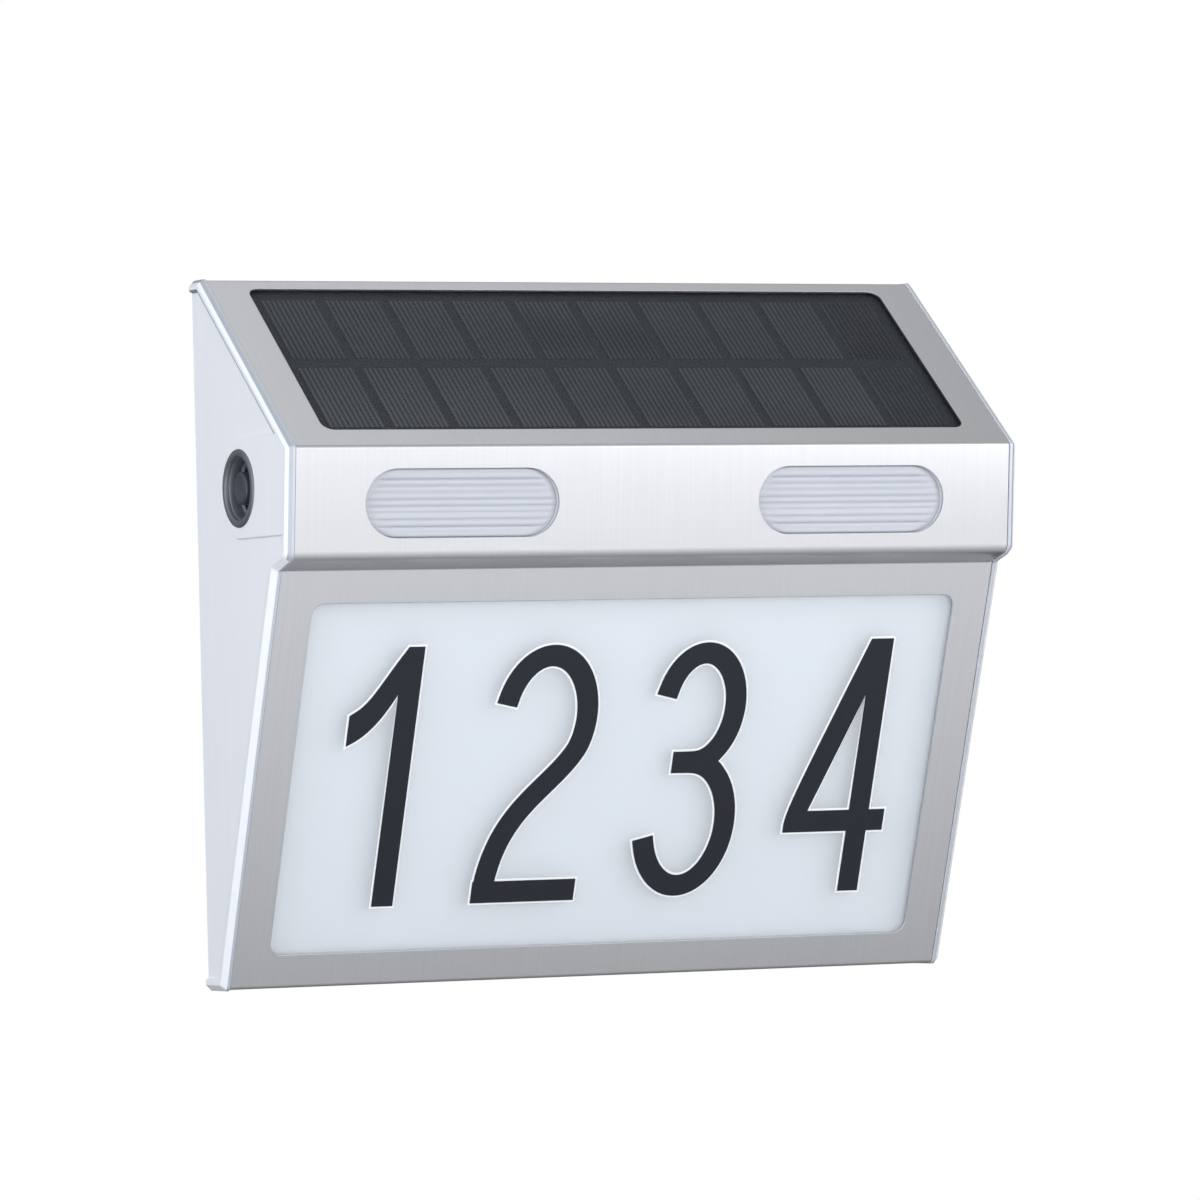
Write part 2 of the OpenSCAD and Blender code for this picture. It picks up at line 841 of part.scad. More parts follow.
module lens_right() {
    lens(1);
}

module reflector(lamp) {
    color("#f4f5f7")
        lamp_frame(lamp)
        difference() {
            layer(flange_in, reflector_in)
                obround(lens_l + 2 * lens_lap, lens_h + 2 * lens_lap);
            layer(flange_in - overrun, reflector_in - cup_t)
                obround(lens_l, lens_h);
            for (i = [0 : chip_count - 1])
                translate([(i - (chip_count - 1) / 2) * chip_pitch, 0, 0])
                    layer(flange_in, reflector_in + overrun)
                    circle(chip_hole_r);
        }
}

module reflector_left() {
    reflector(-1);
}

module reflector_right() {
    reflector(1);
}

module lamp_board(lamp) {
    color("#f0f0ea")
        lamp_frame(lamp)
        difference() {
            layer(reflector_in, lamp_board_in)
                square([lamp_board_l, lamp_board_w], center = true);
            for (x = [-1, 1])
                translate([x * lamp_screw_x, 0, 0])
                    layer(flange_in, lamp_board_in + overrun)
                    circle(lamp_hole_r);
        }
}

module lamp_board_left() {
    lamp_board(-1);
}

module lamp_board_right() {
    lamp_board(1);
}

module lamp_chips() {
    color("#f3e9a8")
        for (lamp = [-1, 1], i = [0 : chip_count - 1])
            lamp_frame(lamp)
                translate([(i - (chip_count - 1) / 2) * chip_pitch, 0, 0])
                layer(reflector_in - chip_t, reflector_in)
                square([chip_w, chip_h], center = true);
}

// A small screw that is driven along +z, with its head's underside at z = 0
module small_screw(l) {
    cylinder(r = small_r, h = l);
    difference() {
        translate([0, 0, -small_head_t])
            cylinder(r = small_head_r, h = small_head_t);
        translate([-small_head_r, -small_slot_w / 2, -small_head_t - overrun])
            cube([2 * small_head_r, small_slot_w, overrun + small_head_t / 2]);
    }
}

module lamp_screws() {
    color("#b9bcc2")
        for (lamp = [-1, 1], x = [-1, 1])
            lamp_frame(lamp)
                translate([x * lamp_screw_x, 0, -lamp_board_in])
                small_screw(small_l);
}

// Number window
module window_plate() {
    color("#eaf0f8", 0.35)
        on_face(4, window_mid)
        layer(core_in, core_in + plate_t)
        round_rect(window_w + 2 * plate_lap, window_l + 2 * plate_lap, window_r);
}

module diffuser() {
    color("#f2f6fc")
        on_face(4, window_mid)
        layer(lower_in, diffuser_in)
        square([diffuser_w, diffuser_l], center = true);
}

// The point of the outline's face i that lies down the face and below it
function down_face(i, down, deep) =
    shell[i] + side(shell[i], shell[i + 1]) * down + inward(shell[i], shell[i + 1]) * deep;

// The light tray's outline: along the diffuser's back, under it to the cover, up the
// cover and forward under the roof
tray_top = down_face(4, window_top - diffuser_lap, diffuser_in);
tray_foot = down_face(4, window_top + window_l + diffuser_lap, diffuser_in);
tray_back_y = -back_t - tray_back_gap;
tray = [
    tray_top,
    tray_foot,
    [tray_back_y, tray_foot.y],
    [tray_back_y, tray_top.y - tray_knee_drop],
    [tray_top.x + tray_roof, tray_top.y]
];
strip_y = tray_top.x + tray_roof / 2;
strip_z = tray_top.y - tray_t;

module light_tray() {
    color("#f7f8fa")
        difference() {
            along_x(tray_x, tray);
            along_x(tray_x - tray_t, inset(tray, [-overrun, tray_t, tray_t, tray_t, tray_t]));
            translate([board_x + strip_socket.x, strip_y, strip_z - overrun])
                cylinder(r = strip_lead_r, h = tray_t + 2 * overrun);
        }
}

module strip_board() {
    color("#f0f0ea")
        difference() {
            translate([-strip_l / 2, strip_y - strip_w / 2, strip_z - strip_t])
                cube([strip_l, strip_w, strip_t]);
            for (x = [-1, 1])
                translate([board_x + strip_socket.x + x * lead_apart / 2, strip_y,
                           strip_z - strip_t / 2])
                    cylinder(r = lead_r + run_gap, h = strip_t);
        }
}

module strip_chips() {
    color("#f3e9a8")
        for (i = [0 : strip_count - 1])
            translate([(i - (strip_count - 1) / 2) * strip_pitch, strip_y,
                       strip_z - strip_t - strip_chip_t / 2])
                cube([strip_chip_w, strip_chip_w, strip_chip_t], center = true);
}

// Numbers: outlines that stand on y = 0 and are centred on x = 0
function arc(c, rx, ry, a, b, n) = [
    for (i = [0 : n]) c + [rx * cos(a + (b - a) * i / n), ry * sin(a + (b - a) * i / n)]
];
function bezier(a, b, c, d, n) = [
    for (i = [0 : n])
        let (t = i / n)
        a * pow(1 - t, 3) + b * 3 * t * pow(1 - t, 2) + c * 3 * t * t * (1 - t) + d * pow(t, 3)
];
function normal_at(path, i) =
    inward(path[max(i - 1, 0)], path[min(i + 1, len(path) - 1)]);
function ribbon(path, w) = concat(
    [for (i = [0 : len(path) - 1]) path[i] - normal_at(path, i) * w / 2],
    [for (i = [len(path) - 1 : -1 : 0]) path[i] + normal_at(path, i) * w / 2]);

// Heights in a number, as shares of its height
flag_share = 0.74;
flag_brow_share = 0.85;
flag_pit_share = 0.82;
waist_share = 0.53;
crossbar_share = 0.24;
bowl_share = 0.24;
// Places across a number, as shares of its width
stem_share = 0.25;
flag_reach_share = 0.385;
// Places beside a stroke, as shares of its width
brow_pull_share = 2;
pit_pull_share = 1.5;
flag_lip_share = 1.4;
leg_pull_shares = [1, 2];
foot_pull_shares = [0.2, 4];
spur_share = 1.1;
four_stem_share = 1.8;
four_slant_share = 0.1;
four_hole_share = 1.1;
four_peak_share = 2.6;
// Turns of the open ends of the rounded strokes
open_turn = 168;
bowl_turn = -28;
curve_steps = 16;

module glyph_one() {
    x = digit_w * stem_share;
    flag = [-digit_w * flag_reach_share, digit_h * flag_share];
    brow = [x - stroke_w * flag_share, digit_h];
    pit = [x - stroke_w, digit_h * flag_pit_share];
    polygon(concat(
        [[x - stroke_w, 0], [x, 0], [x, digit_h], brow],
        bezier(brow, [x - stroke_w * brow_pull_share, digit_h * flag_brow_share],
               flag + [stroke_w, stroke_w / 2], flag, curve_steps / 2),
        bezier(flag - [0, stroke_w * flag_lip_share], flag + [stroke_w, -stroke_w],
               [x - stroke_w * pit_pull_share, flag.y], pit, curve_steps / 2)));
}

module glyph_two() {
    rx = (digit_w - stroke_w) / 2;
    ry = digit_h * bowl_share;
    c = [0, digit_h - stroke_w / 2 - ry];
    bowl = arc(c, rx, ry, open_turn, bowl_turn, curve_steps);
    end = bowl[curve_steps];
    foot = [stroke_w / 2 - digit_w / 2, stroke_w / 2];
    leg = bezier(end, end - stroke_w * leg_pull_shares, foot + stroke_w * foot_pull_shares,
                 foot, curve_steps);
    polygon(ribbon(concat(bowl, [for (i = [1 : curve_steps]) leg[i]]), stroke_w));
    translate([-digit_w / 2, 0])
        square([digit_w, stroke_w]);
}

module glyph_three() {
    waist = digit_h * waist_share;
    top_ry = (digit_h - stroke_w / 2 - waist) / 2;
    foot_ry = (waist - stroke_w / 2) / 2;
    top_rx = (digit_w - stroke_w) / 2 - stroke_w / 4;
    foot_rx = (digit_w - stroke_w) / 2;
    polygon(ribbon(arc([0, waist + top_ry], top_rx, top_ry, open_turn, -90, curve_steps),
                   stroke_w));
    polygon(ribbon(arc([0, waist - foot_ry], foot_rx, foot_ry, 90, -open_turn, curve_steps),
                   stroke_w));
    translate([-stroke_w, waist - stroke_w / 2])
        square([stroke_w * spur_share, stroke_w]);
}

module glyph_four() {
    x = digit_w / 2 - stroke_w * four_stem_share;
    bar = digit_h * crossbar_share;
    translate([x, 0])
        square([stroke_w, digit_h]);
    translate([x, bar])
        square([digit_w / 2 - x, stroke_w]);
    difference() {
        polygon([[-digit_w / 2, bar], [x + stroke_w / 2, bar], [x + stroke_w / 2, digit_h],
                 [x - stroke_w * four_slant_share, digit_h], [-digit_w / 2, bar + stroke_w]]);
        polygon([[stroke_w * four_hole_share - digit_w / 2, bar + stroke_w],
                 [x, bar + stroke_w], [x, digit_h - stroke_w * four_peak_share]]);
    }
}

module digit(place) {
    color("#2f323b")
        on_face(4, window_mid)
        translate([(place - (digit_count - 1) / 2) * digit_pitch, -digit_h / 2, 0])
        layer(core_in - digit_t, core_in)
        children();
}

module digit_1() {
    digit(0)
        glyph_one();
}

module digit_2() {
    digit(1)
        glyph_two();
}

module digit_3() {
    digit(2)
        glyph_three();
}

module digit_4() {
    digit(3)
        glyph_four();
}

// Switch
// Turns an outline of radius and depth about the switch's axis
module turned(pts) {
    translate([ring_x, -switch_y, switch_z])
        rotate([0, 90, 0])
        rotate_extrude()
        polygon(pts);
}

module switch_bezel() {
    color("#73767f")
        turned([
            [cup_r, 0], [ring_r - ring_chamfer, 0], [ring_r, ring_chamfer],
            [ring_r, ring_proud], [barrel_r, ring_proud], [barrel_r, barrel_l],
            [bore_r, barrel_l], [bore_r, cup_d + floor_t],
            [cap_r + run_gap, cup_d + floor_t], [cap_r + run_gap, cup_d],
            [cup_r - mouth_step, cup_d], [cup_r - mouth_step, mouth_d], [cup_r, mouth_d]
        ]);
}

module switch_cap() {
    color("#4b505c")
        turned([
            [0, cap_sink], [cap_r - cap_chamfer, cap_sink], [cap_r, cap_sink + cap_chamfer],
            [cap_r, collar_in], [0, collar_in]
        ]);
}

module switch_plunger() {
    color("#e6e6e2")
        turned([
            [0, collar_in], [collar_r, collar_in], [collar_r, collar_in + collar_t],
            [stem_r, collar_in + collar_t], [stem_r, stem_end], [0, stem_end]
        ]);
}

module switch_spring() {
    color("#c9ccd2")
        turned([
            [spring_in_r, collar_in + collar_t], [spring_in_r + spring_t, collar_in + collar_t],
            [spring_in_r + spring_t, plug_in], [spring_in_r, plug_in]
        ]);
}

module switch_body() {
    color("#1c1d20")
        turned([
            [stem_r + run_gap, plug_in], [bore_r - bore_fit, plug_in],
            [bore_r - bore_fit, barrel_l], [barrel_r, barrel_l], [barrel_r, barrel_l + body_t],
            [0, barrel_l + body_t], [0, stem_end + travel + stem_room],
            [stem_r + run_gap, stem_end + travel + stem_room]
        ]);
}

module switch_terminals() {
    color("#cfc9b4")
        for (y = [-1, 1])
            translate([ring_x + barrel_l + body_t, y * terminal_y - switch_y - terminal_t / 2,
                       switch_z - terminal_w / 2])
                cube([terminal_l, terminal_t, terminal_w]);
}

module switch_washer() {
    wall = ring_proud + pad_x - cavity_x;
    color("#2a2a2c")
        turned([
            [barrel_r + bore_fit, wall], [washer_r, wall], [washer_r, wall + washer_t],
            [barrel_r + bore_fit, wall + washer_t]
        ]);
}

module switch_nut() {
    color("#5e6169")
        translate([washer_t - cavity_x, -switch_y, switch_z])
        rotate([0, 90, 0])
        difference() {
            cylinder(r = nut_r, h = nut_t, $fn = 6);
            translate([0, 0, -overrun])
                cylinder(r = barrel_r + thread_gap, h = nut_t + 2 * overrun);
        }
}

// Back
module key_places() {
    for (x = [-1, 1])
        translate([x * key_pitch / 2, 0, 0])
            children();
}

module key_pocket(grow, from, to) {
    lo = key_drop + key_pocket_x + grow;
    translate([-key_pocket_x - grow, -to, -lo])
        cube([2 * (key_pocket_x + grow), to - from, lo + key_pocket_hi + grow]);
}

module standoff_places() {
    for (x = [-1, 1], z = [-1, 1])
        facing_front(board_x + x * (board_l / 2 - board_hole_in), 0,
                     board_z + z * (board_w / 2 - board_hole_in))
            children();
}

module holder_screw_places() {
    for (x = [-1, 1])
        facing_front(holder_x + x * holder_screw_x, 0, battery_z)
            children();
}

module back_cover() {
    color("#e3e7ee")
        difference() {
            union() {
                translate([back_fit - rebate_x, -back_t, rebate_lo + back_fit])
                    cube([2 * (rebate_x - back_fit), back_t, rebate_hi - rebate_lo - 2 * back_fit]);
                key_places()
                    key_pocket(key_pocket_t, back_t / 2, back_t + key_pocket_d + key_pocket_t);
                standoff_places()
                    translate([0, 0, back_t / 2])
                    cylinder(r = standoff_r, h = back_t / 2 + board_gap);
            }
            key_places() {
                key_pocket(0, back_t, back_t + key_pocket_d);
                translate([0, overrun, -key_drop])
                    rotate([90, 0, 0])
                    cylinder(r = key_head_r, h = back_t + 2 * overrun);
                translate([0, overrun, 0])
                    rotate([90, 0, 0])
                    cylinder(r = key_slot_r, h = back_t + 2 * overrun);
                translate([-key_slot_r, -back_t - overrun, -key_drop])
                    cube([2 * key_slot_r, back_t + 2 * overrun, key_drop]);
            }
            for (x = [-1, 1], z = post_zs)
                facing_front(x * post_x, 0, z) {
                    translate([0, 0, -overrun])
                        cylinder(r = cover_hole_r, h = back_t + 2 * overrun);
                    translate([0, 0, -overrun])
                        cylinder(r = cover_sink_r, h = cover_sink_d + overrun);
                }
            standoff_places()
                translate([0, 0, back_t + standoff_foot])
                cylinder(r = small_pilot_r, h = board_gap);
            holder_screw_places()
                translate([0, 0, standoff_foot])
                cylinder(r = small_pilot_r, h = back_t);
        }
}

module back_gasket() {
    outer = rebate_x - gasket_gap;
    inner = cavity_x + gasket_gap;
    lip = outer - inner;
    lo = rebate_lo + gasket_gap;
    hi = rebate_hi - gasket_gap;
    color("#4a4c50")
        difference() {
            translate([-outer, -rebate_d, lo])
                cube([2 * outer, gasket_t, hi - lo]);
            translate([-inner, -rebate_d - overrun, lo + lip])
                cube([2 * inner, gasket_t + 2 * overrun, hi - lo - 2 * lip]);
        }
}

module cover_screws() {
    color("#b9bcc2")
        for (x = [-1, 1], z = post_zs)
            facing_front(x * post_x, 0, z) {
                translate([0, 0, cover_sink_d])
                    cylinder(r = cover_screw_r, h = cover_screw_l);
                difference() {
                    translate([0, 0, cover_sink_d - cover_head_t])
                        cylinder(r = cover_head_r, h = cover_head_t);
                    for (turn = [0, 90])
                        rotate([0, 0, turn])
                            translate([-cover_head_r * cross_share, -small_slot_w / 2, -overrun])
                            cube([2 * cover_head_r * cross_share, small_slot_w,
                                  overrun + cover_head_t / 2]);
                }
            }
}

// Electronics
module main_board() {
    color("#1f6b3a")
        difference() {
            translate([board_x - board_l / 2, board_face_y, board_z - board_w / 2])
                cube([board_l, board_t, board_w]);
            standoff_places()
                translate([0, 0, back_t])
                cylinder(r = lamp_hole_r, h = board_gap + board_t + overrun);
        }
}

module board_screws() {
    color("#b9bcc2")
        standoff_places()
        translate([0, 0, -board_face_y])
        mirror([0, 0, 1])
        small_screw(small_l + board_t);
}

// Places a part on the main board's front, by a shift from the board's middle
module on_board(shift) {
    facing_front(board_x + shift.x, board_face_y, board_z + shift.y)
        children();
}

module controller_chip() {
    color("#17181a")
        on_board(on_share(chip_share))
        translate([-chip_case.x / 2, -chip_case.y / 2, 0])
        cube(chip_case);
}

module charge_coil() {
    color("#2c2d31")
        on_board(on_share(coil_share))
        cylinder(r = coil_r, h = coil_t);
}

module capacitors() {
    color("#3b4a6b")
        for (share = can_shares)
            on_board(on_share(share))
                cylinder(r = can_r, h = can_t);
}

module board_sockets() {
    color("#f1eee2")
        for (place = sockets)
            on_board(place)
                translate([-socket.x / 2, -socket.y / 2, 0])
                cube(socket);
}

// Battery
module battery_cell() {
    color("#2f6fb5")
        translate([holder_x - battery_l / 2, battery_y, battery_z])
        rotate([0, 90, 0]) {
            cylinder(r = battery_r, h = battery_l - nub_l);
            cylinder(r = nub_r, h = battery_l);
        }
}

module battery_holder() {
    base_y = -back_t - holder_base_t;
    color("#222326")
        difference() {
            translate([holder_x - holder_l / 2, base_y + holder_base_t - holder_wall_h,
                       battery_z - holder_half])
                cube([holder_l, holder_wall_h, 2 * holder_half]);
            translate([holder_x - holder_l / 2 + holder_t, battery_y, battery_z])
                rotate([0, 90, 0])
                cylinder(r = battery_r + holder_fit, h = holder_l - 2 * holder_t);
            translate([holder_x - holder_l / 2 + holder_t, battery_y - holder_wall_h,
                       battery_z - battery_r - holder_fit])
                cube([holder_l - 2 * holder_t, holder_wall_h, 2 * (battery_r + holder_fit)]);
            holder_screw_places()
                cylinder(r = lamp_hole_r, h = -battery_y);
            holder_screw_places()
                translate([0, 0, back_t + holder_base_t - small_head_t])
                cylinder(r = small_head_r + holder_fit, h = battery_r);
        }
}

module battery_spring() {
    lead = holder_l / 2 - holder_t;
    color("#c9ccd2")
        translate([holder_x - lead, battery_y, battery_z])
        rotate([0, 90, 0])
        difference() {
            cylinder(r1 = contact_r, r2 = nub_r + contact_t, h = contact_l);
            translate([0, 0, contact_t])
                cylinder(r = nub_r, h = contact_l);
        }
}

module battery_contact() {
    lead = holder_l / 2 - holder_t;
    color("#cfc9b4")
        translate([holder_x + lead - contact_l, battery_y, battery_z])
        rotate([0, 90, 0]) {
            translate([0, 0, contact_l - contact_t])
                cylinder(r = contact_r, h = contact_t);
            cylinder(r = nub_r, h = contact_l);
        }
}

module holder_screws() {
    color("#b9bcc2")
        holder_screw_places()
        translate([0, 0, back_t + holder_base_t - small_head_t])
        mirror([0, 0, 1])
        small_screw(holder_base_t - small_head_t + back_t - standoff_foot);
}

// Leads: each pair runs side by side along a curve between two ends, leaves each end in
// its own direction, and stands apart there by its own shift
module lead_pair(a, a_way, a_apart, b, b_way, b_apart) {
    for (s = [-1, 1]) {
        from = a + s * a_apart;
        to = b + s * b_apart;
        path = bezier(from, from + a_way, to + b_way, to, lead_steps);
        skinned([
            for (i = [0 : lead_steps])
                let (t = path[min(i + 1, lead_steps)] - path[max(i - 1, 0)],
                     w = i == 0 ? a_way : i == lead_steps ? -b_way : t,
                     u = cross(w, a_apart) / norm(cross(w, a_apart)), v = cross(w, u) / norm(w))
                [for (k = [0 : lead_sides - 1])
                    path[i] + lead_r * (u * cos(360 * k / lead_sides)
                                        + v * sin(360 * k / lead_sides))]
        ]);
    }
}

function socket_end(place) =
    [board_x + place.x, board_face_y - socket.z, board_z + place.y];
function face_point(i, x, down, deep) =
    let (p = down_face(i, down, deep)) [x, p.x, p.y];
function face_up(i) = let (u = side(shell[i + 1], shell[i])) [0, u.x, u.y];
function face_in(i) = let (n = inward(shell[i], shell[i + 1])) [0, n.x, n.y];

// Lengths of the straight pull of a lead at its ends
short_pull = 8;
long_pull = 16;
beside = [lead_apart / 2, 0, 0];
above = [0, 0, lead_apart / 2];

module panel_leads() {
    color("#a02a2a")
        lead_pair(socket_end(panel_socket), [0, -short_pull / 2, 0], beside,
                  face_point(1, panel_lead_x, panel_mid,
                             core_in + panel_stack - panel_pad_t - panel_board_t / 2),
                  face_in(1) * short_pull, beside);
}

module lamp_leads_left() {
    color("#a02a2a")
        lead_pair(socket_end(lamp_left_socket), [0, -short_pull, 0], above,
                  face_point(2, -lens_pitch / 2 - chip_pitch / 2, lens_mid, lamp_board_in),
                  face_in(2) * short_pull, face_up(2) * lead_apart / 2);
}

module lamp_leads_right() {
    color("#a02a2a")
        lead_pair(socket_end(lamp_right_socket), [0, -short_pull, 0], above,
                  face_point(2, lens_pitch / 2 - lamp_board_l / 2 + short_pull, lens_mid,
                             lamp_board_in),
                  face_in(2) * short_pull, face_up(2) * lead_apart / 2);
}

module strip_leads() {
    color("#a02a2a")
        lead_pair(socket_end(strip_socket), [0, -short_pull, 0], beside,
                  [board_x + strip_socket.x, strip_y, strip_z - strip_t / 2],
                  [0, 0, short_pull], beside);
}

module battery_leads() {
    color("#a02a2a")
        lead_pair(socket_end(battery_socket), [0, -short_pull / 2, 0], above,
                  [holder_x - holder_l / 2, battery_y + short_pull / 2, battery_z],
                  [-short_pull, 0, 0], above);
}

module switch_leads() {
    color("#a02a2a")
        lead_pair(socket_end(switch_socket), [0, -short_pull / 2, 0], above,
                  [ring_x + barrel_l + body_t + terminal_l, -switch_y, switch_z],
                  [short_pull / 2, 0, 0], [0, -terminal_y, 0]);
}

housing();
cheek_left();
cheek_right();
face_sheet();
solar_glaze();
solar_cells();
solar_board();
solar_pad();
lens_left();
lens_right();
reflector_left();
reflector_right();
lamp_board_left();
lamp_board_right();
lamp_chips();
lamp_screws();
window_plate();
diffuser();
light_tray();
strip_board();
strip_chips();
digit_1();
digit_2();
digit_3();
digit_4();
switch_bezel();
switch_cap();
switch_plunger();
switch_spring();
switch_washer();
switch_nut();
switch_body();
switch_terminals();
back_cover();
back_gasket();
cover_screws();
main_board();
board_screws();
controller_chip();
charge_coil();
capacitors();
board_sockets();
battery_cell();
battery_holder();
battery_spring();
battery_contact();
holder_screws();
panel_leads();
lamp_leads_left();
lamp_leads_right();
strip_leads();
battery_leads();
switch_leads();
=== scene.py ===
"""Looks of the solar lamp that lights a house number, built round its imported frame.

Sizes are in millimetres and MM turns them to metres. The wall is the plane y = 0, the
front faces -y, and z = 0 is the line of the two wall screws.
"""

import logging
import math
from dataclasses import dataclass
from enum import Enum
from typing import Callable, Iterable, Sequence

import bmesh
import bpy
from bmesh.types import BMEdge, BMesh, BMFace, BMVert
from bpy.types import ID, Material, Mesh, NodeSocket, Object
from mathutils import Matrix, Vector


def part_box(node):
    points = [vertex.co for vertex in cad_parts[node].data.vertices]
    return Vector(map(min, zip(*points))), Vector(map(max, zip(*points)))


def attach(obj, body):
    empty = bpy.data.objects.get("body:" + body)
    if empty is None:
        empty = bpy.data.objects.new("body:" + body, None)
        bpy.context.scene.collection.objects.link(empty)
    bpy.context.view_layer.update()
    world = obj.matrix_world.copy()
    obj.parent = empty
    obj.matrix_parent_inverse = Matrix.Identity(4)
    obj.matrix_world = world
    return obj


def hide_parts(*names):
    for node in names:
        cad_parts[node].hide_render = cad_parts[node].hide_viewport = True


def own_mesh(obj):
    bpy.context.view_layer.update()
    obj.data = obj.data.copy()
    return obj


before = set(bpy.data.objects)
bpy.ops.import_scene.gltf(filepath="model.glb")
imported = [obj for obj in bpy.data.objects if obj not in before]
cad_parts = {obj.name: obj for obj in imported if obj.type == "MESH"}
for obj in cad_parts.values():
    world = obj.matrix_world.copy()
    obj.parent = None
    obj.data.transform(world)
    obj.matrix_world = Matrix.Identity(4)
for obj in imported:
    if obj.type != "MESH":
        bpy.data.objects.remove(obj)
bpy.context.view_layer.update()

MM = 0.001
# Points nearer than this are one point
SAME = 0.002 * MM
# Faces that turn by less than this many degrees are one flat face
FLAT = 0.6
# Edges of a CAD mesh that turn by more than this many degrees are hard
HARD = 32.0
log = logging.getLogger("lamp")


class Body(Enum):
    """The bodies that pieces ride on."""

    LAMP = "lamp"
    BUTTON = "button"


class Side(Enum):
    """The two ends of the lamp, by the side that the viewer sees them on."""

    LEFT = "left"
    RIGHT = "right"


def linear(code: str) -> tuple[float, float, float, float]:
    """Turns an sRGB colour to linear light.

    Args:
        code: six hex digits after a hash sign.

    Returns:
        Red, green, blue and an alpha of 1.
    """
    levels = [int(code[i : i + 2], 16) / 255 for i in (1, 3, 5)]
    return (*(v / 12.92 if v <= 0.04045 else ((v + 0.055) / 1.055) ** 2.4 for v in levels), 1.0)


class Graph:
    """The node tree of a material or of the room."""

    def __init__(self, owner: ID) -> None:
        """Takes up the owner's tree, and empties it."""
        owner.use_nodes = True
        self.tree = owner.node_tree
        self.tree.nodes.clear()

    def add(
        self, kind: str, inputs: dict[str | int, object] | None = None, output: str | int = 0
    ) -> NodeSocket:
        """Adds a node with its settings and links.

        Args:
            kind: the node's type.
            inputs: properties by name, and the values or the sockets that its inputs get.
            output: the output that is wanted.

        Returns:
            That output.
        """
        node = self.tree.nodes.new(f"ShaderNode{kind}")
        for key, value in (inputs or {}).items():
            if isinstance(value, NodeSocket):
                self.tree.links.new(value, node.inputs[key])
            elif isinstance(key, str) and hasattr(node, key):
                setattr(node, key, value)
            else:
                node.inputs[key].default_value = value
        return node.outputs[output] if node.outputs else node.inputs[0]

    def math(self, operation: str, first: object, second: object) -> NodeSocket:
        """Joins two values."""
        return self.add("Math", {"operation": operation, 0: first, 1: second})

    def ramp(
        self, value: NodeSocket, start: float, end: float, low: float = 0.0, high: float = 1.0
    ) -> NodeSocket:
        """Maps a value evenly from one range to another.

        Args:
            value: the value.
            start: the value that gives low.
            end: the value that gives high.
            low: the first result.
            high: the last result.

        Returns:
            The mapped value.
        """
        return self.add(
            "MapRange",
            {"Value": value, "From Min": start, "From Max": end, "To Min": low, "To Max": high},
        )

    def along(self, axis: str) -> NodeSocket:
        """Gives the place along an axis."""
        place = self.add("TexCoord", output="Object")
        return self.add("SeparateXYZ", {"Vector": place}, axis)

    def noise(self, size: Iterable[float]) -> NodeSocket:
        """Gives a noise whose patches have a size in millimetres along each axis."""
        place = self.add("TexCoord", output="Object")
        spread = self.add("Mapping", {"Scale": [1 / (s * MM) for s in size], "Vector": place})
        return self.add(
            "TexNoise", {"Scale": 1.0, "Detail": 2.0, "Roughness": 0.55, "Vector": spread}
        )

    def ray(self, kind: str) -> NodeSocket:
        """Gives 1 for rays of a kind, and else 0."""
        return self.add("LightPath", output=f"Is {kind} Ray")


